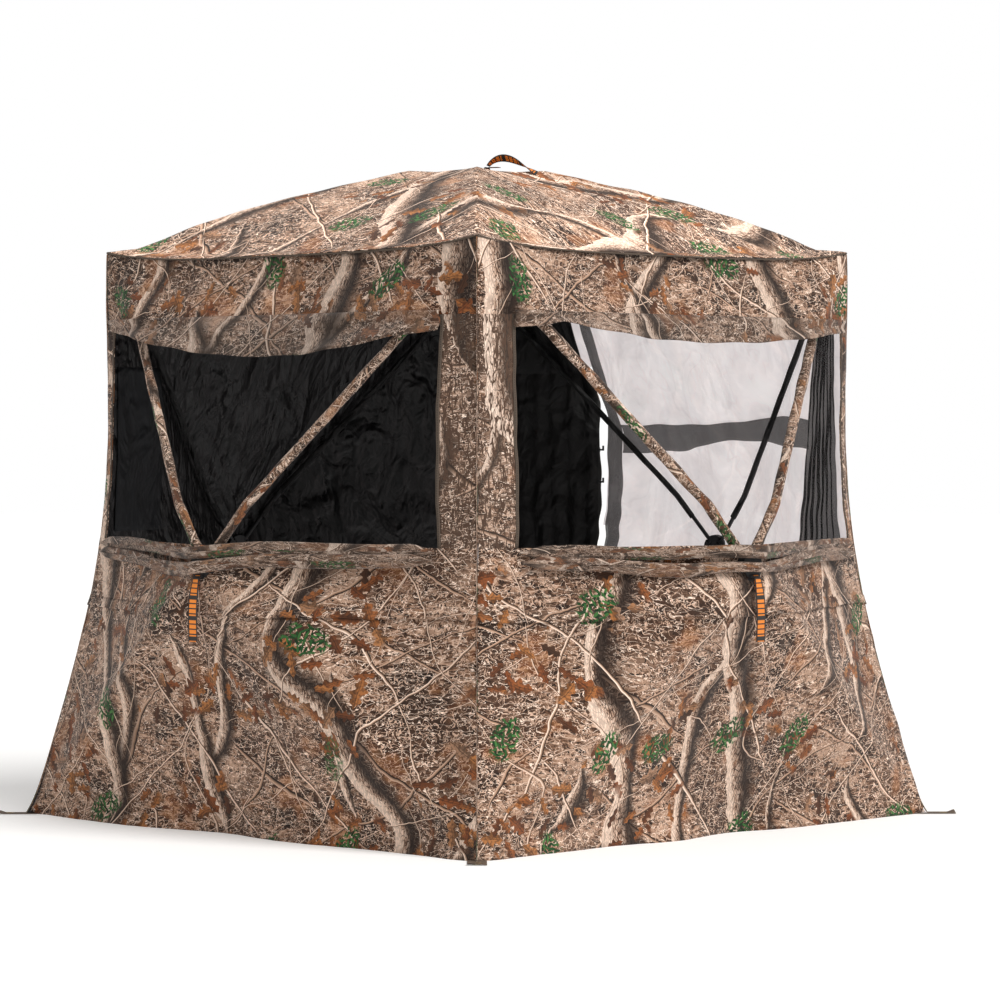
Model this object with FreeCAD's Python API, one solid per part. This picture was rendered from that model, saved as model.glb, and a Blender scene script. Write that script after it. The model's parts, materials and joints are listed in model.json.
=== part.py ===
"""Pop-up ground blind: a square fabric shell held out by five hubs with four poles each.

Millimetres, +Z up. The origin is on the ground at the centre of the footprint.
The front wall faces -Y, the right wall +X, the back wall +Y and the left wall -X.
Each wall is modelled facing +X, with its own right-hand side at +Y, and turned into place.
"""
import FreeCAD, Part
import math
import os

V = FreeCAD.Vector

# overall sizes
HUB_TO_HUB = 1905.0
HEIGHT = 1676.0
EAVE_HALF = 680.0
EAVE_Z = 1460.0
EAVE_MID_Z = 1432.0
BASE_HALF = 817.0
WALL_HUB_Z = 670.0
CORNER_PULL_IN = 56.0
CORNER_PULL_POWER = 1.3

# poles and their linkage
POLE_R = 5.5
POLE_BOW = 28.0
POLE_BOW_AT = 0.17
POLE_BOW_R = 1200.0
PIN_CIRCLE_R = 28.0
PIN_R = 2.5
PIN_CLEARANCE = 0.05
EYE_R = 6.5
EYE_WIDTH = 11.0
TIP_SETBACK = 50.0
FERRULE_R = 6.5
FERRULE_LENGTH = 25.0

# hubs
HUB_R = 40.0
HUB_THICKNESS = 14.0
HUB_SLOT_WIDTH = 12.0
PIN_LENGTH = 24.0
CAP_R = 34.0
CAP_GAP = 3.5
CAP_THICKNESS = 3.0
CAP_BOSS_R = 9.0
HUB_STACK = HUB_THICKNESS / 2 + CAP_GAP + CAP_THICKNESS

# pull straps and the bar each one hangs from
STRAP_WIDTH = 25.0
STRAP_LENGTH = 158.0
STRAP_THICKNESS = 1.8
BAR_R = 1.6
BAR_OUT = 3.8
BAR_DOWN = 28.0
BAR_EAR = 3.0
STRAP_EYE_R = 3.4
STRAP_EYE_CLEARANCE = 0.3
ROOF_STRAP_TILT = 14.0
ROOF_STRAP_HEADING = 25.0

# corner fittings
CORNER_INSET = 22.0
CORNER_BALL_R = 15.0
CUP_BOTTOM = 31.0
CUP_MOUTH = 18.0
CUP_BOTTOM_R = 7.5
CUP_MOUTH_R = 13.5
CUP_WALL = 2.5

# fabric
FABRIC = 2.5
FABRIC_AT_HUB = 12.5
FABRIC_AT_TIP = 22.0
HUB_HOLE_R = 44.0
CORNER_GAP = 0.4
CORNER_FLAT = 12.0
RIDGE_FLAT = 6.0
EAVE_GAP = 1.0
WALL_ROWS = (0.0, 120.0, 240.0, 380.0, 500.0, 630.0, 710.0, 900.0, 1020.0, 1150.0, 1270.0, 1340.0)
ROOF_RINGS = 8

# windows, seen from outside: one edge is close to a corner post and the other close to a corner
SILL_Z = 720.0
HEAD_Z = 1275.0
POST_WIDTH = 98.0
EDGE_WIDTH = 35.0
VALANCE_DROP = 88.0
ROLL_HEIGHT = 42.0
ROLL_OUT = 3.0
ROLL_THICKNESS = 14.0

# back wall: door flap at the back left corner, the gap beside it, and the inner mesh
DOOR_LOW_Z = 150.0
DOOR_HIGH_Z = 1180.0
DOOR_JAMB = 40.0
DOOR_GAP_AT = 322.0
DOOR_GAP = 43.0
FLAP_OVERLAP = 22.0
FLAP_OUT = 4.0
FLAP_THICKNESS = 2.0
HINGE_CLEARANCE = 3.0
LINING = 1.2
LINING_GAP = 1.4
BAND_LOW_Z = 945.0
BAND_HIGH_Z = 1025.0
STRIP_WIDTH = 40.0
CURTAIN_NEAR = 50.0
CURTAIN_WIDTH = 135.0
CURTAIN_LOW_Z = 700.0
CURTAIN_HIGH_Z = 1150.0
CURTAIN_THICKNESS = 12.0
DOOR_CORD_R = 1.5
DOOR_CORD_LOW_Z = 740.0
DOOR_CORD_HIGH_Z = 1000.0
LOOP_LAP = 10.0
LOOP_HEIGHT = 10.0
HOOK_ZS = (945.0, 855.0)
HOOK_TRAVEL = 35.0
LEFT_LINING = (400.0, 640.0, 735.0, 1165.0)

# stake tabs
TAB_WIDTH = 50.0
TAB_REACH = 86.0
TAB_THICKNESS = 2.0
TAB_START = 6.0
EYELET_R = 6.0
EYELET_OUTER_R = 11.0
EYELET_HEIGHT = 3.0
EYELET_AT = 62.0

UP = V(0, 0, 1)
SIDES = {"right": 0, "back": 90, "left": 180, "front": 270}
CORNERS = {"back_right": 45, "back_left": 135, "front_left": 225, "front_right": 315}


def turned(point, degrees):
    """The point turned about the vertical axis."""
    return FreeCAD.Rotation(UP, degrees).multVec(point)


def turned_shape(shape, degrees):
    """A copy of the shape turned about the vertical axis."""
    copy = shape.copy()
    copy.rotate(V(0, 0, 0), UP, degrees)
    return copy


def unit(vector):
    return vector / vector.Length


def export(name, solids):
    """Writes one named node from its closed solids."""
    solids = [solid for shape in solids for solid in shape.Solids]
    shape = solids[0] if len(solids) == 1 else Part.makeCompound(solids)
    shape.exportStep(f"parts/{name}.step")


# ---------------------------------------------------------------- linkage

TOP_ANCHOR = V(EAVE_HALF - CORNER_INSET, EAVE_HALF - CORNER_INSET, EAVE_Z - CORNER_INSET)
BASE_ANCHOR = V(BASE_HALF - CORNER_INSET, BASE_HALF - CORNER_INSET, CORNER_INSET - 2)
WALL_NORMAL = unit(V(TOP_ANCHOR.z - BASE_ANCHOR.z, 0, BASE_ANCHOR.x - TOP_ANCHOR.x))
WALL_HUB = V(HUB_TO_HUB / 2 - HUB_STACK, 0, WALL_HUB_Z)
ROOF_HUB = V(0, 0, HEIGHT - HUB_STACK)


class Pole:
    """One pole: pinned in its hub at one end, resting in a corner cup at the other."""

    def __init__(self, hub, normal, anchor):
        reach = anchor - hub
        self.normal = normal
        self.rise = -reach.dot(normal)
        self.along = unit(reach + normal * self.rise)
        self.pin = hub + self.along * PIN_CIRCLE_R
        self.tip = anchor - self.along * TIP_SETBACK
        self.chord = self.tip - self.pin
        self.axis = self.along.cross(normal)
        self.angle = math.asin(self.rise / self.chord.Length)
        line = unit(self.chord)
        outward = unit(normal - line * normal.dot(line))
        self.bend = self.pin + self.chord * POLE_BOW_AT + outward * POLE_BOW

    def turned(self, degrees):
        """The same pole on a wall turned by the angle."""
        other = Pole.__new__(Pole)
        other.rise = self.rise
        other.angle = self.angle
        for name in ("normal", "along", "pin", "tip", "chord", "axis", "bend"):
            setattr(other, name, turned(getattr(self, name), degrees))
        return other


def wall_poles(degrees):
    """The four poles of a wall, named as seen from outside."""
    ends = {"top": TOP_ANCHOR, "bottom": BASE_ANCHOR}
    hands = {"left": -1, "right": 1}
    poles = {}
    for end, anchor in ends.items():
        for hand, sign in hands.items():
            at = V(anchor.x, anchor.y * sign, anchor.z)
            poles[f"{end}_{hand}"] = Pole(WALL_HUB, WALL_NORMAL, at).turned(degrees)
    return poles


def roof_poles():
    """The four poles of the roof, named by their corners."""
    first = Pole(ROOF_HUB, UP, TOP_ANCHOR)
    return {name: first.turned(degrees - 45) for name, degrees in CORNERS.items()}


def hubs():
    """Each hub's name, centre, normal and poles."""
    found = {"roof": (ROOF_HUB, UP, roof_poles())}
    for side, degrees in SIDES.items():
        found[side] = (turned(WALL_HUB, degrees), turned(WALL_NORMAL, degrees), wall_poles(degrees))
    return found


# ---------------------------------------------------------------- poles, hubs, straps


def disc(centre, axis, radius, thickness):
    """A cylinder centred on a point."""
    return Part.makeCylinder(radius, thickness, centre - axis * thickness / 2, axis)


def pole_solid(pole):
    """A bowed rod with an eye at the hub and a ferrule at its tip."""
    into = unit(pole.pin - pole.bend)
    out = unit(pole.tip - pole.bend)
    half_turn = (math.pi - into.getAngle(out)) / 2
    tangent = POLE_BOW_R * math.tan(half_turn)
    before = pole.bend + into * tangent
    after = pole.bend + out * tangent
    sag = POLE_BOW_R / math.cos(half_turn) - POLE_BOW_R
    middle = pole.bend + unit(into + out) * sag
    end = pole.tip - out * FERRULE_LENGTH / 2
    route = Part.Wire(
        [
            Part.LineSegment(pole.pin, before).toShape(),
            Part.Arc(before, middle, after).toShape(),
            Part.LineSegment(after, end).toShape(),
        ]
    )
    profile = Part.Wire(Part.makeCircle(POLE_R, pole.pin, into * -1))
    rod = route.makePipeShell([profile], True, False)
    eye = disc(pole.pin, pole.axis, EYE_R, EYE_WIDTH)
    ferrule = Part.makeCylinder(FERRULE_R, FERRULE_LENGTH, pole.tip, out * -1)
    body = rod.fuse([eye, ferrule])
    return body.cut(disc(pole.pin, pole.axis, PIN_R + PIN_CLEARANCE, 2 * EYE_WIDTH))


def hub_solid(centre, normal, poles):
    """A round hub with one through slot and one pin bore for each pole."""
    body = disc(centre, normal, HUB_R, HUB_THICKNESS)
    slot_start = PIN_CIRCLE_R - EYE_R - 2
    for pole in poles.values():
        slot = Part.makeBox(HUB_R, HUB_SLOT_WIDTH, 2 * HUB_THICKNESS)
        slot.translate(V(slot_start, -HUB_SLOT_WIDTH / 2, -HUB_THICKNESS))
        turn = FreeCAD.Rotation(pole.along, normal.cross(pole.along), normal, "ZXY")
        slot.Placement = FreeCAD.Placement(centre, turn).multiply(slot.Placement)
        bore = disc(pole.pin, pole.axis, PIN_R + 0.01, PIN_LENGTH + 1)
        body = body.cut([slot, bore])
    return body


def strap_bar(centre, normal, down):
    """The line of the bar that a pull strap hangs from: its middle and its direction."""
    middle = centre + normal * (HUB_STACK + BAR_OUT) + down * BAR_DOWN
    return middle, normal.cross(down)


def cap_solid(centre, normal, down):
    """The outer cap, with its boss, two ears and the bar for the pull strap."""
    plate = disc(centre + normal * (HUB_STACK - CAP_THICKNESS / 2), normal, CAP_R, CAP_THICKNESS)
    boss_height = CAP_GAP + CAP_THICKNESS / 2
    boss = Part.makeCylinder(CAP_BOSS_R, boss_height, centre + normal * HUB_THICKNESS / 2, normal)
    middle, side = strap_bar(centre, normal, down)
    span = STRAP_WIDTH / 2 + 1
    bar = disc(middle, side, BAR_R, 2 * (span + BAR_EAR))
    pieces = [boss, bar]
    for sign in (-1, 1):
        root = middle + side * sign * (span + BAR_EAR / 2) - normal * BAR_OUT * 0.6
        ear = Part.makeBox(BAR_EAR, 5.0, BAR_OUT * 1.6 + 1.5)
        ear.translate(V(-BAR_EAR / 2, -2.5, -BAR_OUT * 0.8))
        turn = FreeCAD.Rotation(side, down, normal, "ZXY")
        ear.Placement = FreeCAD.Placement(root, turn).multiply(ear.Placement)
        pieces.append(ear)
    return plate.fuse(pieces)


def strap_solid(middle, side, hang):
    """A webbing strap with a sewn eye round its bar, hanging along one direction."""
    inner = BAR_R + STRAP_EYE_CLEARANCE
    face = side.cross(hang)
    web = Part.makeBox(STRAP_WIDTH, STRAP_LENGTH, STRAP_THICKNESS)
    web.translate(V(-STRAP_WIDTH / 2, (STRAP_EYE_R + inner) / 2, -STRAP_THICKNESS / 2))
    turn = FreeCAD.Rotation(side, hang, face, "ZXY")
    web.Placement = FreeCAD.Placement(middle, turn).multiply(web.Placement)
    eye = disc(middle, side, STRAP_EYE_R, STRAP_WIDTH)
    return web.fuse(eye).cut(disc(middle, side, inner, 2 * STRAP_WIDTH))


def make_hubs():
    """Exports poles, hubs, pins, caps and straps."""
    rods = {place: pole_solid(pole) for place, pole in wall_poles(0).items()}
    for side, degrees in SIDES.items():
        for place, rod in rods.items():
            export(f"{side}_pole_{place}", [turned_shape(rod, degrees)])
    roof_rod = pole_solid(roof_poles()["back_right"])
    for place, degrees in CORNERS.items():
        export(f"roof_pole_{place}", [turned_shape(roof_rod, degrees - CORNERS["back_right"])])
    for name, (centre, normal, poles) in hubs().items():
        export(f"{name}_hub", [hub_solid(centre, normal, poles)])
        export(f"{name}_hub_pins", [disc(p.pin, p.axis, PIN_R, PIN_LENGTH) for p in poles.values()])
        down, hang = strap_directions(name, normal)
        export(f"{name}_hub_cap", [cap_solid(centre, normal, down)])
        middle, side = strap_bar(centre, normal, down)
        export(f"{name}_pull_strap", [strap_solid(middle, side, hang)])


def strap_directions(name, normal):
    """Where a strap's bar lies on its cap, and the way the strap hangs at rest."""
    if name == "roof":
        down = turned(V(1, 0, 0), ROOF_STRAP_HEADING)
        tilt = math.radians(ROOF_STRAP_TILT)
        return down, down * math.cos(tilt) + UP * math.sin(tilt)
    down = unit(V(0, 0, -1) + normal * normal.z)
    return down, V(0, 0, -1)


# ---------------------------------------------------------------- corner fittings


def cup(anchor, along, outer):
    """A cup's outer body, or the tapered cavity in it, opening away from the corner."""
    extra = CUP_WALL if outer else 0.0
    bottom = anchor - along * (TIP_SETBACK - CUP_BOTTOM - extra)
    length = CUP_BOTTOM + CUP_MOUTH + extra + (0 if outer else 1)
    return Part.makeCone(CUP_BOTTOM_R + extra, CUP_MOUTH_R + extra, length, bottom, along * -1)


def corner_fitting(anchor, poles):
    """A ball with one open cup for each pole that ends at the corner."""
    body = Part.makeSphere(CORNER_BALL_R, anchor)
    for pole in poles:
        root = Part.makeCylinder(CUP_BOTTOM_R + 1, TIP_SETBACK - CUP_BOTTOM, anchor, pole.along * -1)
        body = body.fuse([root, cup(anchor, pole.along, True)])
    return body.cut([cup(anchor, pole.along, False) for pole in poles])


def make_corner_fittings():
    """Exports the four top fittings and the four base fittings."""
    first = wall_poles(0)
    second = wall_poles(90)
    top = [first["top_right"], second["top_left"], Pole(ROOF_HUB, UP, TOP_ANCHOR)]
    base = [first["bottom_right"], second["bottom_left"]]
    for name, anchor, poles in (
        ("top_corner_fittings", TOP_ANCHOR, top),
        ("base_corner_fittings", BASE_ANCHOR, base),
    ):
        fitting = corner_fitting(anchor, poles)
        export(name, [turned_shape(fitting, degrees) for degrees in SIDES.values()])


# ---------------------------------------------------------------- fabric surfaces


def corner_half(z):
    """Half the width of the shell at a corner edge, which the fabric pulls in between its ends."""
    t = min(max(z / EAVE_Z, 0.0), 1.0)
    pull = CORNER_PULL_IN * math.sin(math.pi * t) ** CORNER_PULL_POWER
    return BASE_HALF + (EAVE_HALF - BASE_HALF) * t - pull


def eave_z(fraction):
    """Height of the eave seam at a fraction of the way from the middle to a corner."""
    return EAVE_MID_Z + (EAVE_Z - EAVE_MID_Z) * abs(fraction) ** 4


def ridge_points(place):
    """Points of the fabric ridge over one pole of the +X wall, from the hub to the corner."""
    pole = wall_poles(0)[place]
    top = place.startswith("top")
    end = V(EAVE_HALF, EAVE_HALF, EAVE_Z) if top else V(BASE_HALF, BASE_HALF, 0)
    return [
        WALL_HUB + WALL_NORMAL * FABRIC_AT_HUB,
        pole.bend + WALL_NORMAL * FABRIC_AT_HUB,
        pole.tip + WALL_NORMAL * FABRIC_AT_TIP,
        end,
    ]


TOP_RIDGE = ridge_points("top_right")
BASE_RIDGE = ridge_points("bottom_right")


def ridge_at(z):
    """The fabric ridge's place across and out from the wall at a height."""
    points = TOP_RIDGE if z >= TOP_RIDGE[0].z else BASE_RIDGE
    for a, b in zip(points, points[1:]):
        if (a.z - z) * (b.z - z) <= 0:
            t = (z - a.z) / (b.z - a.z)
            return a.x + (b.x - a.x) * t, a.y + (b.y - a.y) * t
    return points[-1].x, points[-1].y


def wall_x(y, z):
    """How far out the wall's outer surface is: flat between the poles, then in to the corner."""
    out, across = ridge_at(z)
    half = corner_half(z)
    if abs(y) <= across:
        return out
    return out + (half - out) * min((abs(y) - across) / max(half - across, 1.0), 1.0)


def thin_solid(front, back):
    """A closed solid between two grids of points."""
    rows, columns = len(front), len(front[0])
    faces = []

    def add(*points):
        for a, b, c in (points[:3], (points[0], points[2], points[3])):
            if (b - a).cross(c - a).Length > 1e-3:
                faces.append(Part.Face(Part.makePolygon([a, b, c, a])))

    for i in range(rows - 1):
        for j in range(columns - 1):
            add(front[i][j], front[i][j + 1], front[i + 1][j + 1], front[i + 1][j])
            add(back[i][j], back[i + 1][j], back[i + 1][j + 1], back[i][j + 1])
        for j in (0, columns - 1):
            add(front[i][j], front[i + 1][j], back[i + 1][j], back[i][j])
    for j in range(columns - 1):
        for i in (0, rows - 1):
            add(front[i][j], front[i][j + 1], back[i][j + 1], back[i][j])
    shell = Part.makeShell(faces)
    shell.sewShape()
    solid = Part.makeSolid(shell)
    if solid.Volume < 0:
        solid.reverse()
    return solid


def wall_sheet(outward, thickness, mitre):
    """A sheet as large as a wall facing +X, its outer face a distance outward from the wall's."""
    heights = sorted(set(WALL_ROWS) | {p.z for p in TOP_RIDGE[:3]} | {p.z for p in BASE_RIDGE[:3]})
    front, back = [], []
    for z in heights + [EAVE_Z]:
        ends = corner_half(z) - CORNER_GAP
        across = min(max(ridge_at(z)[1], RIDGE_FLAT), ends - CORNER_FLAT)
        outer, inner = [], []
        for y in (-ends, -across, -across / 2, 0.0, across / 2, across, ends):
            level = eave_z(y / ends) - EAVE_GAP if z == EAVE_Z else z
            x = wall_x(y, z) - CORNER_GAP + outward
            cut = math.copysign(mitre, y) if abs(y) == ends else 0.0
            outer.append(V(x, y, level))
            inner.append(V(x - thickness, y - cut, level))
        front.append(outer)
        back.append(inner)
    return thin_solid(front, back)


def wall_solid():
    """A whole wall facing +X, from the ground to the eave seam, with a hole at its hub."""
    return wall_sheet(0.0, FABRIC, FABRIC).cut(disc(WALL_HUB, WALL_NORMAL, HUB_HOLE_R, 6 * HUB_THICKNESS))


def slab(y_low, y_high, z_low, z_high):
    """A box that passes right through a wall facing +X."""
    box = Part.makeBox(HUB_TO_HUB / 4, y_high - y_low, z_high - z_low)
    box.translate(V(EAVE_HALF * 0.75, y_low, z_low))
    return box


def patch(y_low, y_high, z_low, z_high, outward, thickness):
    """A sheet that follows the wall's surface, its outer face a distance outward from the wall's."""
    return wall_sheet(outward, thickness, 0.0).common(slab(y_low, y_high, z_low, z_high))


def window_span(near_hand):
    """The window's two sides, with the wide post at the given hand."""
    near = EAVE_HALF - POST_WIDTH
    far = EAVE_HALF - EDGE_WIDTH
    return (-far, near) if near_hand > 0 else (-near, far)


def make_window_wall(side, near_hand):
    """Exports a wall with a window, its valance and the rolled shade on its sill."""
    degrees = SIDES[side]
    low, high = window_span(near_hand)
    whole = wall_solid()
    wall = whole.cut(slab(low, high, SILL_Z, HEAD_Z))
    valance = whole.common(slab(low + 1, high - 1, HEAD_Z - VALANCE_DROP, HEAD_Z - 1))
    roll_low = SILL_Z - ROLL_HEIGHT
    roll = patch(low, high, roll_low, SILL_Z - 1, ROLL_OUT + ROLL_THICKNESS, ROLL_THICKNESS)
    roll = roll.cut(slab(-HUB_HOLE_R, HUB_HOLE_R, roll_low - 10, SILL_Z + 10))
    export(f"{side}_wall", [turned_shape(wall, degrees)])
    export(f"{side}_window_valance", [turned_shape(valance, degrees)])
    export(f"{side}_window_shade_roll", [turned_shape(roll, degrees)])


def make_left_wall():
    """Exports the closed left wall and the blackout panel inside it."""
    y_low, y_high, z_low, z_high = LEFT_LINING
    degrees = SIDES["left"]
    lining = patch(y_low, y_high, z_low, z_high, -FABRIC - LINING_GAP, LINING)
    export("left_wall", [turned_shape(wall_solid(), degrees)])
    export("left_blackout_panel", [turned_shape(lining, degrees)])


# ---------------------------------------------------------------- back wall and its door

DOOR_Y = EAVE_HALF - DOOR_GAP_AT
DOOR_HIGH_Y = EAVE_HALF - DOOR_JAMB
GAP_Y = DOOR_Y - DOOR_GAP
CORD_Y = GAP_Y + DOOR_GAP * 0.35
CORD_X = min(wall_x(CORD_Y, z) for z in (DOOR_CORD_LOW_Z, DOOR_CORD_HIGH_Z)) - FABRIC - 16.0


def door_axis():
    """The line that the door flap swings about: a point and its upward direction."""
    y = DOOR_HIGH_Y + FLAP_OVERLAP + HINGE_CLEARANCE
    at_low = V(wall_x(y, DOOR_LOW_Z) + FLAP_OUT + 8.0, y, DOOR_LOW_Z)
    at_high = V(wall_x(y, DOOR_HIGH_Z) + FLAP_OUT + 8.0, y, DOOR_HIGH_Z)
    return turned(at_low, SIDES["back"]), turned(unit(at_high - at_low), SIDES["back"])


def door_cord_line():
    """Top and bottom ends of the cord along the door's inner edge."""
    ends = (V(CORD_X, CORD_Y, DOOR_CORD_HIGH_Z), V(CORD_X, CORD_Y, DOOR_CORD_LOW_Z))
    return [turned(end, SIDES["back"]) for end in ends]


def hook_solid(z):
    """A small hook with an eye that slides on the door cord."""
    eye = Part.makeCylinder(5.0, 12.0, V(CORD_X, CORD_Y, z - 6))
    arm = Part.makeBox(4.0, 16.0, 5.0)
    arm.translate(V(CORD_X - 2, CORD_Y - 18, z - 2.5))
    tip = Part.makeBox(4.0, 4.0, 14.0)
    tip.translate(V(CORD_X - 2, CORD_Y - 20, z - 2.5))
    return eye.fuse([arm, tip]).cut(Part.makeCylinder(DOOR_CORD_R + 0.4, 40.0, V(CORD_X, CORD_Y, z - 20)))


def cord_anchor(z):
    """A sewn loop, as a block, that holds one end of the door cord off the mesh strip."""
    ends = (GAP_Y - LOOP_LAP, CORD_Y + 6)
    lowest = min(wall_x(y, height) for y in ends for height in (z, z + LOOP_HEIGHT))
    out = lowest - FABRIC - LINING - LINING_GAP - 3.0
    block = Part.makeBox(out - CORD_X + 4, CORD_Y - GAP_Y + LOOP_LAP + 6, LOOP_HEIGHT)
    block.translate(V(CORD_X - 4, GAP_Y - LOOP_LAP, z))
    return block


def make_back_wall():
    """Exports the see-through wall, the door flap, the inner mesh and the door cord."""
    degrees = SIDES["back"]
    whole = wall_solid()
    wall = whole.cut(slab(GAP_Y, DOOR_HIGH_Y, DOOR_LOW_Z, DOOR_HIGH_Z))
    flap = patch(DOOR_Y, DOOR_HIGH_Y + FLAP_OVERLAP, DOOR_LOW_Z - FLAP_OVERLAP,
                 DOOR_HIGH_Z + FLAP_OVERLAP, FLAP_OUT + FLAP_THICKNESS, FLAP_THICKNESS)
    inside = -FABRIC - LINING_GAP
    curtain_high = -(EAVE_HALF - CURTAIN_NEAR)
    strip = patch(GAP_Y - STRIP_WIDTH, GAP_Y - 2, DOOR_LOW_Z, DOOR_HIGH_Z, inside, LINING)
    band_low = curtain_high + CURTAIN_WIDTH + 4
    band = patch(band_low, GAP_Y - STRIP_WIDTH - 3, BAND_LOW_Z, BAND_HIGH_Z, inside, LINING)
    curtain = patch(curtain_high, curtain_high + CURTAIN_WIDTH, CURTAIN_LOW_Z, CURTAIN_HIGH_Z,
                    -FABRIC - 3, CURTAIN_THICKNESS)
    cord_length = DOOR_CORD_HIGH_Z - DOOR_CORD_LOW_Z
    cord = Part.makeCylinder(DOOR_CORD_R, cord_length, V(CORD_X, CORD_Y, DOOR_CORD_LOW_Z))
    anchors = [cord_anchor(DOOR_CORD_HIGH_Z), cord_anchor(DOOR_CORD_LOW_Z - LOOP_HEIGHT)]
    nodes = {
        "back_wall": [wall],
        "door_flap": [flap],
        "back_inner_mesh": [strip, band] + anchors,
        "back_corner_mesh_curtain": [curtain],
        "door_cord": [cord],
        "door_hook_upper": [hook_solid(HOOK_ZS[0])],
        "door_hook_lower": [hook_solid(HOOK_ZS[1])],
    }
    for name, shapes in nodes.items():
        export(name, [turned_shape(shape, degrees) for shape in shapes])


# ---------------------------------------------------------------- roof and ground tabs


def roof_ring(t):
    """Half size, corner height and mid-side height of one ring of the roof's upper surface."""
    pole = Pole(ROOF_HUB, UP, TOP_ANCHOR)
    bend = math.hypot(pole.bend.x, pole.bend.y) / math.sqrt(2)
    line = [
        (0.0, ROOF_HUB.z + FABRIC_AT_HUB),
        (bend, pole.bend.z + FABRIC_AT_HUB),
        (pole.tip.x, pole.tip.z + FABRIC_AT_TIP),
        (EAVE_HALF, EAVE_Z + EAVE_GAP + FABRIC),
    ]
    half = EAVE_HALF * t
    for (a, za), (b, zb) in zip(line, line[1:]):
        if half <= b:
            z = za + (zb - za) * (half - a) / (b - a)
            break
    drop = (EAVE_Z - EAVE_MID_Z) * t ** 3
    return half, z, drop


def make_roof():
    """Exports the roof: rings of points about the hub, joined into one thin solid."""
    inner_t = HUB_HOLE_R / EAVE_HALF
    edge = 1 - CORNER_FLAT / (EAVE_HALF - CORNER_GAP)
    upper, lower = [], []
    for i in range(ROOF_RINGS + 1):
        half, z, drop = roof_ring(inner_t + (1 - inner_t) * i / ROOF_RINGS)
        ring = []
        for degrees in SIDES.values():
            for f in (-1.0, -edge, -edge / 2, 0.0, edge / 2, edge):
                ring.append(turned(V(half, half * f, z - drop * (1 - f ** 4)), degrees))
        ring.append(ring[0])
        upper.append(ring)
        lower.append([p - UP * FABRIC for p in ring])
    faces = []

    def add(a, b, c):
        faces.append(Part.Face(Part.makePolygon([a, b, c, a])))

    for rows, step in ((upper, 1), (lower, -1)):
        for near, far in zip(rows, rows[1:]):
            for j in range(len(near) - 1):
                add(*(near[j], far[j], far[j + 1])[::step])
                add(*(near[j], far[j + 1], near[j + 1])[::step])
    for top, bottom in ((upper[0], lower[0]), (upper[-1], lower[-1])):
        for j in range(len(top) - 1):
            add(top[j], top[j + 1], bottom[j + 1])
            add(top[j], bottom[j + 1], bottom[j])
    shell = Part.makeShell(faces)
    shell.sewShape()
    solid = Part.makeSolid(shell)
    if solid.Volume < 0:
        solid.reverse()
    export("roof_fabric", [solid])


def make_stake_tabs():
    """Exports the four ground tabs and the eyelets that stakes go through."""
    start = BASE_HALF * math.sqrt(2) + TAB_START
    tab = Part.makeBox(TAB_REACH - TAB_START, TAB_WIDTH, TAB_THICKNESS)
    tab.translate(V(start, -TAB_WIDTH / 2, 0))
    centre = V(BASE_HALF * math.sqrt(2) + EYELET_AT, 0, 0)
    tab = tab.cut(Part.makeCylinder(EYELET_OUTER_R, EYELET_HEIGHT, centre))
    ring = Part.makeCylinder(EYELET_OUTER_R, EYELET_HEIGHT, centre)
    ring = ring.cut(Part.makeCylinder(EYELET_R, EYELET_HEIGHT, centre))
    export("stake_tabs", [turned_shape(tab, degrees) for degrees in CORNERS.values()])
    export("stake_eyelets", [turned_shape(ring, degrees) for degrees in CORNERS.values()])


os.makedirs("parts", exist_ok=True)
make_hubs()
make_corner_fittings()
make_window_wall("front", 1)
make_window_wall("right", -1)
make_left_wall()
make_back_wall()
make_roof()
make_stake_tabs()
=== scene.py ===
"""Pop-up ground blind: fabric, sleeves, webbing and mesh dressed around the CAD frame. Metres, +Z up.

Each wall is shaped as if it faced +X, with its right-hand side (seen from outside) at +Y, and turned
into place. On a wall, y runs across it and z up it.
"""
import json
import math

import bpy
import numpy as np
from mathutils import Matrix, Vector


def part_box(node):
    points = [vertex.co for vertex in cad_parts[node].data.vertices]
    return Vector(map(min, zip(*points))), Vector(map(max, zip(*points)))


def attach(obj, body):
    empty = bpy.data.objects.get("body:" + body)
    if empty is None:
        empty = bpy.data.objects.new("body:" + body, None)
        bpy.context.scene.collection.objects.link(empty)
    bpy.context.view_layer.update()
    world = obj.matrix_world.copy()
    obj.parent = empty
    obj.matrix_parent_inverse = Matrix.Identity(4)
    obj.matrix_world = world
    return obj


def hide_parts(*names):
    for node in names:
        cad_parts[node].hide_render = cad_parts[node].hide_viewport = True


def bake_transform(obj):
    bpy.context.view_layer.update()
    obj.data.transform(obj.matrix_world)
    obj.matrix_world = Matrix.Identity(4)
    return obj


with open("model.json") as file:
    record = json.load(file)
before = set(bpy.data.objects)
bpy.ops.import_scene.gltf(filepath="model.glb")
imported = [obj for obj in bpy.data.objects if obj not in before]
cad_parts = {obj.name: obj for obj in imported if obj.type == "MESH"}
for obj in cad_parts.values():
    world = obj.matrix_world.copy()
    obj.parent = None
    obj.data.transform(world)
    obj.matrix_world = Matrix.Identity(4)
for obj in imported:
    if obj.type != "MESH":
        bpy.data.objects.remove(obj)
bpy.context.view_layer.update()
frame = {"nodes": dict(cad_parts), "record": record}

JOINTS = {joint["name"]: joint for joint in frame["record"]["behaviour"]["joints"]}

# ---- sizes from the frame

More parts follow.
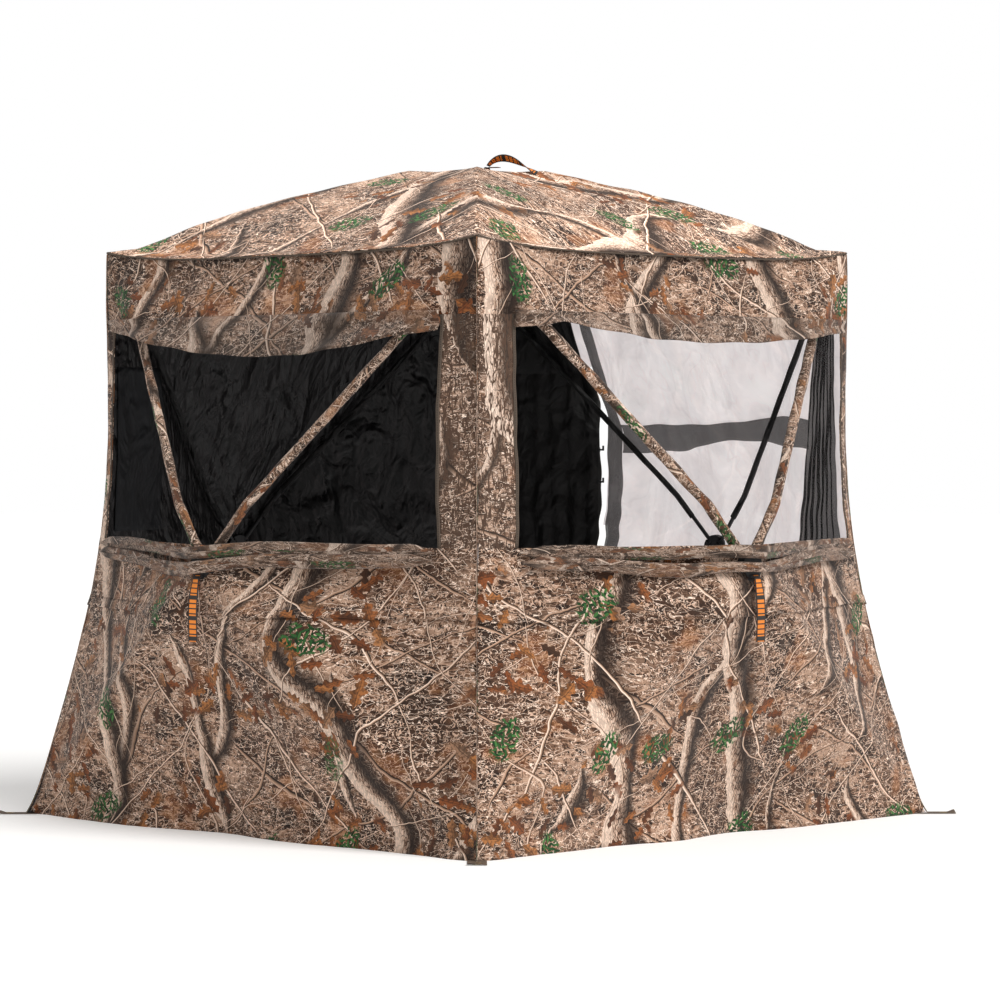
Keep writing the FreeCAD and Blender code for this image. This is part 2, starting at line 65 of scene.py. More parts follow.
SIDES = {"right": 0, "back": 90, "left": 180, "front": 270}
NUMBERS = {side: number for number, side in enumerate(SIDES)}
EAVE_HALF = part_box("roof_fabric")[1][0]
BASE_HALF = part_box("left_wall")[1][1]
EAVE_Z = 1.460
EAVE_MID_Z = 1.432
CORNER_INSET = 0.022
CORNER_PULL_IN = 0.056
CORNER_PULL_POWER = 1.3
WALL_NORMAL = np.array(JOINTS["right_hub_pop"]["axis"])
CAP_OUT = 0.0135
WALL_HUB = np.array([1.905 / 2 - CAP_OUT, 0.0, 0.670])
ROOF_HUB = np.array([0.0, 0.0, 1.676 - CAP_OUT])
TOP_ANCHOR = np.array([EAVE_HALF - CORNER_INSET, EAVE_HALF - CORNER_INSET, EAVE_Z - CORNER_INSET])
BASE_ANCHOR = np.array([BASE_HALF - CORNER_INSET, BASE_HALF - CORNER_INSET, CORNER_INSET - 0.002])
UP = np.array([0.0, 0.0, 1.0])
PIN_CIRCLE_R = 0.028
TIP_SETBACK = 0.050
POLE_BOW = 0.028
POLE_BOW_AT = 0.17
FABRIC_AT_HUB = 0.0095
FABRIC_AT_BEND = 0.0150
FABRIC_AT_TIP = 0.021
FABRIC_THICKNESS = 0.0016
NET_THICKNESS = 0.0008
CAP_R = 0.034

SILL_Z = 0.720
HEAD_Z = 1.275
POST_WIDTH = 0.098
EDGE_WIDTH = 0.035
SEAM_Z = 0.548
GRID = 0.014
HEM_FLARE = 0.016
HEM_HEIGHT = 0.045
SEAM_HEIGHT = 0.024
ROLL_HEIGHT = 0.030
BINDING_WIDTH = 0.008
STRAP_WIDTH = 0.023
STRAP_LOOP_R = 0.0030
STRAP_LENGTH = 0.160
EYELET_R = 0.0078
LINING_THICKNESS = 0.0010
RELIEF_SEEDS = 10
UV_SHIFT = 2.7


# ---- camera


def make_camera():
    """The camera: level with a standing adult's chest, looking at one corner of the blind."""
    distance = 10.35
    right = Vector((math.sqrt(0.5), math.sqrt(0.5), 0))
    data = bpy.data.cameras.new("camera")
    data.lens = 143.0
    data.sensor_width = 36.0
    data.clip_end = 200.0
    camera = bpy.data.objects.new("camera", data)
    bpy.context.collection.objects.link(camera)
    camera.location = (distance * math.sqrt(0.5), -distance * math.sqrt(0.5), 1.0)
    target = right * 0.060 + Vector((0, 0, 0.818))
    camera.rotation_euler = (target - camera.location).to_track_quat("-Z", "Y").to_euler()
    bpy.context.scene.camera = camera


make_camera()


# ---- material helpers


class Nodes:
    """Short calls that add shader nodes to one tree and return their outputs."""

    def __init__(self, tree):
        self.tree = tree

    def put(self, socket, value):
        if isinstance(value, bpy.types.NodeSocket):
            self.tree.links.new(value, socket)
        else:
            socket.default_value = value

    def add(self, kind, inputs=(), **settings):
        node = self.tree.nodes.new("ShaderNode" + kind)
        for name, value in settings.items():
            setattr(node, name, value)
        for name, value in dict(inputs).items():
            self.put(node.inputs[name], value)
        return node

    def math(self, operation, a, b=0.0, c=0.0):
        node = self.add("Math", operation=operation)
        for socket, value in zip(node.inputs, (a, b, c)):
            self.put(socket, value)
        return node.outputs[0]

    def times(self, a, b):
        return self.math("MULTIPLY", a, b)

    def plus(self, a, b):
        return self.math("ADD", a, b)

    def minus(self, a, b):
        return self.math("SUBTRACT", a, b)

    def over(self, a, b):
        return self.math("DIVIDE", a, b)

    def times_plus(self, a, b, c):
        return self.math("MULTIPLY_ADD", a, b, c)

    def absolute(self, a):
        return self.math("ABSOLUTE", a)

    def fraction(self, a):
        return self.math("FRACT", a)

    def sine(self, a):
        return self.math("SINE", a)

    def vector_math(self, operation, a, b=(0, 0, 0)):
        node = self.add("VectorMath", operation=operation)
        self.put(node.inputs[0], a)
        self.put(node.inputs[1], b)
        return node.outputs[0]

    def scaled(self, vector, scale):
        return self.vector_math("MULTIPLY", vector, scale)

    def moved(self, vector, shift):
        return self.vector_math("ADD", vector, shift)

    def split(self, vector):
        node = self.add("SeparateXYZ", {"Vector": vector})
        return node.outputs[0], node.outputs[1], node.outputs[2]

    def join(self, x, y, z=0.0):
        return self.add("CombineXYZ", {"X": x, "Y": y, "Z": z}).outputs[0]

    def noise(self, vector, scale, detail=3.0, roughness=0.55, distortion=0.0):
        inputs = {"Vector": vector, "Scale": scale, "Detail": detail, "Roughness": roughness,
                  "Distortion": distortion}
        return self.add("TexNoise", inputs).outputs["Fac"]

    def between(self, value, low, high, start=0.0, end=1.0):
        """The value taken smoothly from low..high to start..end, and held there outside."""
        inputs = {"Value": value, "From Min": low, "From Max": high, "To Min": start, "To Max": end}
        return self.add("MapRange", inputs, interpolation_type="SMOOTHSTEP").outputs[0]

    def ramp(self, factor, stops):
        node = self.add("ValToRGB", {"Fac": factor})
        elements = node.color_ramp.elements
        while len(elements) < len(stops):
            elements.new(0.5)
        for element, (place, colour) in zip(elements, stops):
            element.position = place
            element.color = (*colour, 1)
        return node.outputs[0]

    def mix(self, factor, a, b, blend="MIX"):
        node = self.add("Mix", data_type="RGBA", blend_type=blend)
        for name, value in (("Factor_Float", factor), ("A_Color", a), ("B_Color", b)):
            socket = next(s for s in node.inputs if s.identifier == name)
            self.put(socket, value if isinstance(value, (float, bpy.types.NodeSocket)) else (*value, 1))
        return next(s for s in node.outputs if s.identifier == "Result_Color")

    def stamp(self, at, cell, shift, spin, stretch=1.0):
        """Scattered places to print on: x and y from the nearest centre, turned, and two randoms."""
        moved = self.moved(self.scaled(at, (1 / cell, 1 / (cell * stretch), 0)), shift)
        inputs = {"Vector": moved, "Scale": 1.0, "Randomness": 0.85}
        node = self.add("TexVoronoi", inputs, voronoi_dimensions="2D")
        local = self.vector_math("SUBTRACT", moved, node.outputs["Position"])
        local = self.scaled(local, (cell, cell * stretch, 0))
        first, second, third = self.split(node.outputs["Color"])
        angle = self.times(self.minus(first, 0.5), 2 * spin)
        turn = self.add("VectorRotate", {"Vector": local, "Angle": angle}, rotation_type="Z_AXIS")
        x, y, _ = self.split(turn.outputs[0])
        return x, y, second, third

    def leaf(self, x, y, length, width, lobes):
        """1 inside a lobed leaf that lies along x, and its distance from the midrib over its width."""
        t = self.over(x, length)
        taper = self.minus(1.0, self.times(t, t))
        lobe = self.times_plus(self.math("COSINE", self.times(x, lobes)), 0.30, 0.75)
        half = self.times(self.times(taper, lobe), width)
        across = self.absolute(y)
        inside = self.between(self.minus(half, across), 0.0, 0.0006)
        return inside, self.over(across, width)


# print colours, as linear light
SOIL = (0.030, 0.016, 0.010)
UMBER = (0.095, 0.052, 0.032)
BROWN = (0.205, 0.122, 0.080)
TAN = (0.40, 0.275, 0.20)
SAND = (0.62, 0.475, 0.385)
CREAM = (0.88, 0.76, 0.67)
RUST = (0.30, 0.115, 0.042)
AMBER = (0.46, 0.235, 0.098)
GREEN = (0.020, 0.090, 0.026)
LIGHT_GREEN = (0.10, 0.25, 0.085)


def wandering(nodes, at, lean, period, width, shift, wobble):
    """Long leaning boles that wander and thin out.

    Returns 1 inside one, how far to its side (-1 to 1), and the place across and along it.
    """
    x, y, _ = nodes.split(at)
    moved = nodes.moved(at, (shift, 2.3 * shift, 0))
    bend = nodes.minus(nodes.noise(nodes.scaled(moved, (1.5, 1.9, 1)), 1.0, 1.0), 0.5)
    edge = nodes.minus(nodes.noise(moved, 19.0, 3.0, 0.6), 0.5)
    across = nodes.plus(nodes.times_plus(y, lean, x), shift)
    across = nodes.times_plus(bend, wobble, across)
    across = nodes.times_plus(edge, width * 0.9, across)
    place = nodes.minus(nodes.fraction(nodes.over(across, period)), 0.5)
    place = nodes.times(place, period)
    thin = nodes.noise(nodes.scaled(moved, (2.6, 1.7, 1)), 1.0, 1.0)
    thin = nodes.between(thin, 0.36, 0.52, -0.2, 1.0)
    half = nodes.times(thin, width)
    inside = nodes.between(nodes.minus(half, nodes.absolute(place)), 0.0, 0.0014)
    side = nodes.over(place, nodes.math("MAXIMUM", half, 0.0004))
    return inside, side, nodes.join(place, y)


def threads(nodes, at, stretch, scale, thickness, distortion=0.4):
    """1 along fine tangled lines, such as grass stems and twigs."""
    tangle = nodes.noise(nodes.scaled(at, stretch), scale, 2.0, 0.5, distortion)
    off = nodes.absolute(nodes.minus(tangle, 0.5))
    return nodes.between(off, thickness, thickness * 0.4)


def bark(nodes, at, place, side, plate):
    """Bark in dark-edged plates, lit on one side of the bole and shaded on the other."""
    cells = nodes.add("TexVoronoi",
        {"Vector": nodes.scaled(nodes.moved(place, at), (1 / plate, 0.28 / plate, 0)), "Scale": 1.0},
        voronoi_dimensions="2D", feature="DISTANCE_TO_EDGE",
    )
    grain = nodes.noise(nodes.scaled(at, (230.0, 46.0, 1)), 1.0, 3.0, 0.65)
    colour = nodes.ramp(grain, [(0.30, UMBER), (0.42, BROWN), (0.52, SAND), (0.66, CREAM)])
    colour = nodes.mix(nodes.between(cells.outputs["Distance"], 0.15, 0.02, 0.0, 0.9), colour, SOIL)
    colour = nodes.mix(nodes.between(side, -0.2, 0.85, 0.0, 0.92), colour, SOIL)
    return nodes.mix(nodes.between(side, -0.05, -0.55, 0.0, 0.55), colour, CREAM)


def twig(nodes, at, colour, branch, stops):
    """The colour with thin branches drawn over it, shaded from one side to the other."""
    inside, side, _ = wandering(nodes, at, *branch)
    return nodes.mix(inside, colour, nodes.ramp(nodes.times_plus(side, 0.5, 0.5), stops))


def camo_print(nodes, at, bark_only=False):
    """The colour of a woodland print in the cloth's own coordinates: litter, trunks, twigs, leaves."""
    wobble = nodes.add("TexNoise", {"Vector": at, "Scale": 7.0, "Detail": 3.0}).outputs["Color"]
    bent = nodes.moved(at, nodes.scaled(wobble, (0.035, 0.050, 0)))

    # forest floor: banded litter, pale clearings and dark hollows, crossed by stems
    litter = nodes.noise(nodes.scaled(bent, (24.0, 78.0, 1)), 1.0, 5.0, 0.68, 0.5)
    colour = nodes.ramp(litter, [(0.33, SOIL), (0.42, UMBER), (0.49, BROWN), (0.56, TAN), (0.66, SAND)])
    patches = nodes.noise(nodes.scaled(at, (1.0, 1.6, 1)), 5.0, 3.0)
    clearing = nodes.mix(litter, TAN, SAND)
    colour = nodes.mix(nodes.between(patches, 0.53, 0.62, 0.0, 0.75), colour, clearing)
    colour = nodes.mix(nodes.between(patches, 0.50, 0.39, 0.0, 0.85), colour, SOIL)
    hollows = nodes.noise(nodes.scaled(at, (1.3, 1.0, 1)), 2.6, 2.0)
    colour = nodes.mix(nodes.between(hollows, 0.52, 0.40, 0.0, 0.72), colour, UMBER)
    colour = nodes.mix(threads(nodes, bent, (1.0, 2.2, 1), 26.0, 0.020), colour, SOIL)
    colour = nodes.mix(threads(nodes, bent, (1.0, 2.6, 1), 31.0, 0.017), colour, CREAM)
    colour = nodes.mix(threads(nodes, at, (2.4, 1.0, 1), 23.0, 0.014), colour, UMBER)
    colour = nodes.mix(threads(nodes, at, (1.0, 1.0, 1), 52.0, 0.022, 0.8), colour, SAND)
    rust = nodes.between(nodes.noise(at, 7.3, 2.0), 0.56, 0.66, 0.0, 0.40)
    colour = nodes.mix(rust, colour, nodes.mix(nodes.between(litter, 0.4, 0.6), RUST, AMBER))

    # branches behind, then trunks with a shadow beside each, then branches in front
    for branch in ((1.9, 0.46, 0.010, 0.31, 0.5), (-1.5, 0.52, 0.008, 1.17, 0.6)):
        colour = twig(nodes, bent, colour, branch, [(0.1, SAND), (0.45, TAN), (0.75, SOIL)])
    for trunk, plate in (
        ((-0.34, 0.43, 0.024, 0.83, 0.55), 0.0065),
        ((0.22, 0.47, 0.036, 0.12, 0.50), 0.0085),
    ):
        inside, side, place = wandering(nodes, at, *trunk)
        shadow = nodes.times(nodes.between(side, 2.4, 1.0, 0.0, 0.8), nodes.between(side, 0.2, 0.9))
        colour = nodes.mix(shadow, colour, SOIL)
        colour = nodes.mix(inside, colour, bark(nodes, bent, place, side, plate))
    if bark_only:
        return nodes.mix(threads(nodes, at, (5.0, 1.0, 1), 18.0, 0.05), colour, UMBER)
    for branch in (
        (0.95, 0.39, 0.0065, 0.57, 0.45), (-0.85, 0.33, 0.0045, 1.71, 0.40),
        (-2.6, 0.61, 0.0040, 0.94, 0.55), (0.55, 0.29, 0.0028, 2.13, 0.50),
        (-0.2, 0.27, 0.0024, 2.71, 0.60),
    ):
        colour = twig(nodes, bent, colour, branch, [(0.2, CREAM), (0.55, TAN), (0.8, SOIL)])

    # dead oak leaves in loose groups, then sprays of green leaflets
    groups = nodes.noise(at, 3.6, 1.0)
    for cell, shift, length, width, lobes, tones in (
        (0.082, (6.6, 4.4, 0), 0.040, 0.019, 270.0, (RUST, AMBER, TAN)),
        (0.061, (13.7, 9.1, 0), 0.029, 0.013, 350.0, (UMBER, RUST, AMBER)),
    ):
        x, y, pick, shade = nodes.stamp(bent, cell, shift, math.pi)
        inside, across = nodes.leaf(x, y, length, width, lobes)
        tone = nodes.ramp(shade, [(0.0, tones[0]), (0.5, tones[1]), (1.0, tones[2])])
        tone = nodes.mix(nodes.between(nodes.noise(at, 150.0, 2.0), 0.45, 0.6, 0.0, 0.55), tone, UMBER)
        tone = nodes.mix(nodes.between(across, 0.10, 0.02, 0.0, 0.5), tone, SOIL)
        tone = nodes.mix(nodes.between(y, 0.001, 0.006, 0.0, 0.5), tone, SOIL)
        few = nodes.times(nodes.between(pick, 0.30, 0.32), nodes.between(groups, 0.50, 0.54))
        colour = nodes.mix(nodes.times(inside, few), colour, tone)
    x, y, pick, shade = nodes.stamp(at, 0.27, (8.3, 2.6, 0), math.pi)
    off = nodes.join(x, nodes.times(y, 1.7))
    spread = nodes.add("VectorMath", {0: off}, operation="LENGTH")
    ragged = nodes.times_plus(nodes.noise(at, 55.0, 2.0), 0.050, spread.outputs["Value"])
    spray = nodes.times(nodes.between(ragged, 0.088, 0.076), nodes.between(pick, 0.45, 0.47))
    for cell, shift, length, width, low, high in (
        (0.0135, (2.2, 5.9, 0), 0.0115, 0.0034, (0.012, 0.050, 0.016), GREEN),
        (0.0150, (7.1, 3.4, 0), 0.0125, 0.0030, GREEN, LIGHT_GREEN),
    ):
        x, y, pick, shade = nodes.stamp(at, cell, shift, math.pi)
        inside, across = nodes.leaf(x, y, length, width, 0.0)
        tone = nodes.ramp(shade, [(0.0, low), (1.0, high)])
        colour = nodes.mix(nodes.times(inside, spray), colour, tone)
    return colour


def cloth_coordinates(nodes):
    return nodes.add("UVMap", uv_map="cloth").outputs[0]


def weave_height(nodes, at, threads):
    """Height of a plain weave with that many threads a metre."""
    x, y, _ = nodes.split(at)
    warp = nodes.sine(nodes.times(x, threads * 2 * math.pi))
    weft = nodes.sine(nodes.times(y, threads * 2 * math.pi))
    return nodes.times(warp, weft)


def new_material(name):
    material = bpy.data.materials.new(name)
    material.use_nodes = True
    tree = material.node_tree
    return material, Nodes(tree), tree.nodes["Principled BSDF"]


def fill(nodes, shader, inputs, height=None, strength=0.0, distance=0.0):
    """Fills the shader's sockets by name, and bumps its surface by a height."""
    for name, value in inputs.items():
        nodes.put(shader.inputs[name], value)
    if height is not None:
        bump = nodes.add("Bump", {"Strength": strength, "Distance": distance, "Height": height})
        nodes.put(shader.inputs["Normal"], bump.outputs[0])


def times_all(colour, gain, lift=0.0):
    """A lighter or darker colour, held at 1."""
    return tuple(min(1.0, part * gain + lift) for part in colour)


def camo_material(name, gain=1.0, muted=0.0, bark_only=False, through=0.0):
    """Printed cloth. gain lightens it (the roof's larger gain is painted light), muted greys it, through
    is the share of light it lets past.
    """
    material, nodes, shader = new_material(name)
    at = cloth_coordinates(nodes)
    colour = camo_print(nodes, at, bark_only)
    if muted:
        grey = nodes.add("HueSaturation", {"Saturation": 1 - 0.25 * muted, "Color": colour}).outputs[0]
        colour = nodes.mix(0.45 * muted, grey, (0.16, 0.125, 0.10))
    colour = nodes.add("Gamma", {"Color": colour, "Gamma": 1.30}).outputs[0]
    # Random fading of the print, times the gain; for the roof this gain is painted light on its sunlit
    # top.
    fade_and_painted_light = nodes.between(nodes.noise(at, 2.2, 2.0), 0.3, 0.7, 1.06 * gain, 1.32 * gain)
    warm = nodes.join(fade_and_painted_light, nodes.times(fade_and_painted_light, 0.95), nodes.times(fade_and_painted_light, 0.91))
    weave = nodes.times(weave_height(nodes, at, 900.0), 0.08)
    height = nodes.plus(nodes.noise(at, 38.0, 3.0, 0.5), weave)
    fill(nodes, shader, {
        "Base Color": nodes.mix(1.0, colour, warm, "MULTIPLY"), "Roughness": 0.82,
        "Specular IOR Level": 0.25, "Sheen Weight": 0.12, "Sheen Roughness": 0.5,
    }, height, 0.35, 0.0025)
    if through:
        let_past(nodes, shader, through)
    return material


def let_past(nodes, shader, share):
    """Lets a share of the light straight through an even, fine mesh."""
    clear = nodes.add("BsdfTransparent")
    mix = nodes.add("MixShader")
    mix.inputs[0].default_value = share
    nodes.tree.links.new(shader.outputs[0], mix.inputs[1])
    nodes.tree.links.new(clear.outputs[0], mix.inputs[2])
    output = next(n for n in nodes.tree.nodes if n.type == "OUTPUT_MATERIAL")
    nodes.tree.links.new(mix.outputs[0], output.inputs["Surface"])


def lining_material(name, colour, roughness=0.42, through=0.0, crumple=26.0, glow=0.0):
    """Coated lining cloth with a slight sheen and fine creases; glow is painted light, given off by the
    cloth itself to stand in for daylight coming through it.
    """
    material, nodes, shader = new_material(name)
    at = cloth_coordinates(nodes)
    creases = nodes.noise(nodes.scaled(at, (1.0, 0.55, 1)), crumple, 4.0, 0.55, 0.8)
    folds = nodes.noise(nodes.scaled(at, (1.0, 0.6, 1)), 8.0, 2.0, 0.5, 1.6)
    # Painted highlight: the base colour is lighter along the crease noise.
    crease_highlight = times_all(colour, 1.7, 0.004)
    fill(nodes, shader, {
        "Base Color": nodes.mix(nodes.between(creases, 0.35, 0.7), colour, crease_highlight),
        "Roughness": nodes.between(creases, 0.3, 0.7, roughness, roughness + 0.18),
        "Specular IOR Level": 0.42, "Emission Strength": glow,
    }, nodes.times_plus(folds, 3.0, creases), 1.0, 0.016)
    if glow:
        # The glow's colour is painted light: lighter over the folds, with painted shade along the
        # wrinkles.
        wrinkles = threads(nodes, at, (1.0, 0.7, 1), 5.0, 0.012, 1.2)
        tone = nodes.mix(nodes.between(folds, 0.35, 0.65), (0.84, 0.785, 0.79), (0.97, 0.92, 0.92))
        tone = nodes.mix(nodes.times(wrinkles, 0.22), tone, (0.6, 0.55, 0.56))
        nodes.put(shader.inputs["Emission Color"], tone)
    if through:
        let_past(nodes, shader, through)
    return material


def mesh_material(name, colour, through):
    """Fine net: threads with holes between them, evened out, and faint lighter patches painted as the
    sheen of puckers.
    """
    material, nodes, shader = new_material(name)
    at = cloth_coordinates(nodes)
    yarn = nodes.between(weave_height(nodes, at, 420.0), -0.4, 0.6)
    pucker_sheen = nodes.noise(nodes.scaled(at, (24.0, 8.0, 1)), 1.0, 3.0)
    shade = nodes.mix(yarn, times_all(colour, 0.45), colour)
    # Painted sheen: lighter patches stand in for light catching puckers.
    shade = nodes.mix(nodes.between(pucker_sheen, 0.45, 0.7, 0.0, 0.5), shade, times_all(colour, 2.2, 0.02))
    fill(nodes, shader, {"Base Color": shade, "Roughness": 0.75})
    let_past(nodes, shader, through)
    return material


def plastic_material(name, colour, roughness, scale=260.0):
    """Moulded plastic or painted rod: fine grain, scuffs and a little wear."""
    material, nodes, shader = new_material(name)
    at = nodes.add("TexCoord").outputs["Object"]
    scuffs = nodes.noise(nodes.scaled(at, (40.0, 40.0, 12.0)), 1.0, 5.0, 0.7)
    worn = nodes.between(scuffs, 0.58, 0.75, 0.0, 0.6)
    fill(nodes, shader, {
        "Base Color": nodes.mix(worn, colour, times_all(colour, 2.4, 0.02)),
        "Roughness": nodes.between(scuffs, 0.3, 0.7, roughness, roughness + 0.2),
    }, nodes.noise(at, scale, 3.0), 0.25, 0.0004)
    return material


def metal_material(name, colour, roughness):
    """Plain metal with fine brushing and dull spots."""
    material, nodes, shader = new_material(name)
    at = nodes.add("TexCoord").outputs["Object"]
    brushing = nodes.noise(nodes.scaled(at, (900.0, 900.0, 60.0)), 1.0, 2.0)
    dull = nodes.between(nodes.noise(at, 90.0, 3.0), 0.5, 0.7, 0.0, 0.5)
    fill(nodes, shader, {
        "Base Color": nodes.mix(dull, colour, times_all(colour, 0.55)), "Metallic": 1.0,
        "Roughness": nodes.between(brushing, 0.3, 0.7, roughness, roughness + 0.15),
    })
    return material


def webbing_material(name, blocks):
    """Woven strap: brown, or with blocks, black with orange patches along its middle."""
    material, nodes, shader = new_material(name)
    at = cloth_coordinates(nodes)
    x, y, _ = nodes.split(at)
    rib = nodes.sine(nodes.times(y, 2 * math.pi * 700.0))
    thread = nodes.noise(nodes.scaled(at, (1400.0, 500.0, 1)), 1.0, 2.0)
    if not blocks:
        colour = nodes.mix(thread, (0.085, 0.058, 0.040), (0.17, 0.12, 0.085))
    else:
        colour = nodes.mix(thread, (0.012, 0.011, 0.011), (0.035, 0.032, 0.03))
        repeat = nodes.fraction(nodes.times(y, 1 / 0.050))
        inside = nodes.times(nodes.between(repeat, 0.08, 0.11), nodes.between(repeat, 0.90, 0.87))
        notch = nodes.between(nodes.fraction(nodes.times(y, 1 / 0.0125)), 0.22, 0.28)
        middle = nodes.between(nodes.absolute(x), 0.0092, 0.0082)
        orange = nodes.mix(thread, (0.70, 0.17, 0.015), (0.88, 0.30, 0.04))
        mask = nodes.times(nodes.times(inside, middle), notch)
        colour = nodes.mix(mask, colour, orange)
    height = nodes.times_plus(rib, 0.6, thread)
    fill(nodes, shader, {"Base Color": colour, "Roughness": 0.7}, height, 0.5, 0.0005)
    return material


def stitch_material(name, colour):
    """Binding tape with a row of stitches down its middle."""
    material, nodes, shader = new_material(name)
    at = cloth_coordinates(nodes)
    x, y, _ = nodes.split(at)
    dash = nodes.fraction(nodes.times(x, 1 / 0.006))
    row = nodes.between(nodes.absolute(y), 0.0016, 0.0008)
    thread = nodes.times(row, nodes.between(dash, 0.25, 0.35))
    grain = nodes.noise(at, 420.0, 3.0)
    base = nodes.mix(grain, times_all(colour, 0.7), times_all(colour, 1.3))
    colour = nodes.mix(nodes.times(thread, 0.7), base, (0.02, 0.016, 0.012))
    fill(nodes, shader, {"Base Color": colour, "Roughness": 0.8}, thread, 0.4, 0.0006)
    return material


BLACK = (0.0035, 0.0033, 0.0036)
CAMO = camo_material("camo_wall", gain=0.93)
# The roof's print is lightened by a larger gain: painted light and sheen for its sunlit top.
CAMO_ROOF_LIT = camo_material("camo_roof", gain=1.66)
CAMO_SEE = camo_material("camo_see_through", gain=0.93, through=0.08)
CAMO_POST = camo_material("camo_post", gain=1.12, muted=0.45, bark_only=True)
CAMO_MESH = camo_material("camo_mesh", gain=0.82, muted=0.55)
CAMO_SLEEVE = camo_material("camo_sleeve", gain=0.95, muted=0.3)
LINING = lining_material("black_lining", BLACK, 0.27)
SEE_LINING = lining_material("see_through_lining", (0.48, 0.455, 0.46), 0.6, 0.2, 9.0, glow=0.72)
FLAP_BLACK = lining_material("flap_black", (0.005, 0.0045, 0.0045), 0.55)
PANEL_BLACK = lining_material("panel_black", (0.007, 0.008, 0.010), 0.62, 0.0, 4.0)
NET = mesh_material("black_net", (0.045, 0.041, 0.041), 0.38)
NET_GREY = mesh_material("grey_net", (0.16, 0.15, 0.15), 0.30)
POLE_BLACK = plastic_material("pole_black", (0.012, 0.012, 0.013), 0.38, 500.0)
NYLON = plastic_material("nylon", (0.014, 0.014, 0.015), 0.5)
STEEL = metal_material("steel", (0.55, 0.55, 0.56), 0.3)
BRASS = metal_material("brass", (0.42, 0.32, 0.16), 0.35)
STRAP = webbing_material("strap_webbing", True)
TAB_WEB = webbing_material("tab_webbing", False)
BINDING = stitch_material("binding", (0.085, 0.060, 0.042))
CORD = plastic_material("shock_cord", (0.010, 0.010, 0.010), 0.6, 900.0)


# ---- light

def make_light():
    """A white surround with a soft key from the right and above, on a pale floor."""
    world = bpy.data.worlds.new("studio")
    bpy.context.scene.world = world
    world.use_nodes = True
    world.node_tree.nodes.clear()
    nodes = Nodes(world.node_tree)
    seen = nodes.add("Background", {"Color": (1, 1, 1, 1)})
    lit = nodes.add("Background", {"Color": (1, 0.985, 0.97, 1), "Strength": 0.50})
    path = nodes.add("LightPath")
    seen_share = path.outputs["Is Camera Ray"]
    mix = nodes.add("MixShader", {0: seen_share, 1: lit.outputs[0], 2: seen.outputs[0]})
    nodes.add("OutputWorld", {0: mix.outputs[0]})
    data = bpy.data.lights.new("key", "SUN")
    data.energy = 2.5
    data.angle = math.radians(35)
    data.color = (1.0, 0.985, 0.965)
    key = bpy.data.objects.new("key", data)
    bpy.context.collection.objects.link(key)
    key.rotation_euler = Vector((0.72, 0.02, 0.72)).to_track_quat("Z", "Y").to_euler()
    bpy.ops.mesh.primitive_plane_add(size=60)
    floor = bpy.context.object
    floor.name = "floor"
    material, nodes, shader = new_material("floor")
    fill(nodes, shader, {
        "Base Color": (0.86, 0.86, 0.855, 1), "Roughness": 0.9,
        "Emission Color": (1, 1, 1, 1), "Emission Strength": 0.22,
    })
    floor.data.materials.append(material)
    bpy.context.scene.view_settings.view_transform = "Standard"


make_light()


# ---- wall shape


def smooth(t):
    t = np.clip(t, 0.0, 1.0)
    return t * t * (3 - 2 * t)


def corner_half(z):
    """Half the shell's width at a corner edge, which the fabric pulls in between its ends."""
    t = np.clip(np.asarray(z, float) / EAVE_Z, 0.0, 1.0)
    pull = CORNER_PULL_IN * np.sin(math.pi * t) ** CORNER_PULL_POWER
    flare = HEM_FLARE * np.exp(-t * EAVE_Z / HEM_HEIGHT)
    return BASE_HALF + (EAVE_HALF - BASE_HALF) * t - pull + flare


def eave_z(fraction):
    """Height of the eave seam at a fraction of the way from the middle to a corner."""
    return EAVE_MID_Z + (EAVE_Z - EAVE_MID_Z) * np.abs(fraction) ** 4


def pole_points(hub, normal, anchor):
    """A pole's pin, bend and tip."""
    reach = anchor - hub
    along = reach - normal * reach.dot(normal)
    along = along / np.linalg.norm(along)
    pin = hub + along * PIN_CIRCLE_R
    tip = anchor - along * TIP_SETBACK
    line = (tip - pin) / np.linalg.norm(tip - pin)
    outward = normal - line * normal.dot(line)
    outward = outward / np.linalg.norm(outward)
    return pin, pin + (tip - pin) * POLE_BOW_AT + outward * POLE_BOW, tip


def ridge(anchor, corner):
    """The fabric ridge over one pole: from the hub, over the bend and the tip, to the corner."""
    _, bend, tip = pole_points(WALL_HUB, WALL_NORMAL, anchor)
    return np.array([
        WALL_HUB + WALL_NORMAL * FABRIC_AT_HUB,
        bend + WALL_NORMAL * FABRIC_AT_BEND,
        tip + WALL_NORMAL * FABRIC_AT_TIP,
        corner,
    ])


TOP_RIDGE = ridge(TOP_ANCHOR, np.array([EAVE_HALF, EAVE_HALF, EAVE_Z]))
BASE_RIDGE = ridge(BASE_ANCHOR, np.array([BASE_HALF, BASE_HALF, 0.0]))


def ridge_at(z):
    """How far out and across the ridge is at each height."""
    z = np.asarray(z, float)
    order = np.concatenate([BASE_RIDGE[::-1], TOP_RIDGE[1:]])
    return np.interp(z, order[:, 2], order[:, 0]), np.interp(z, order[:, 2], order[:, 1])


def wall_x(y, z):
    """How far out the wall's surface is: flat between the poles, then in to the corner."""
    out, across = ridge_at(z)
    half = corner_half(z)
    t = np.clip((np.abs(y) - across) / np.maximum(half - across, 0.001), 0.0, 1.0)
    return out + (half - out) * t


def ripple(a, b, seed, scale, count=7):
    """Smooth wandering noise of a and b, about -1 to 1."""
    rng = np.random.default_rng(seed)
    total = np.zeros(np.broadcast(a, b).shape)
    for _ in range(count):
        turn, phase = rng.uniform(0, 2 * math.pi, 2)
        pitch = scale * rng.uniform(0.6, 1.7)
        total = total + np.sin((a * math.cos(turn) + b * math.sin(turn)) * pitch + phase)
    return total / math.sqrt(count)


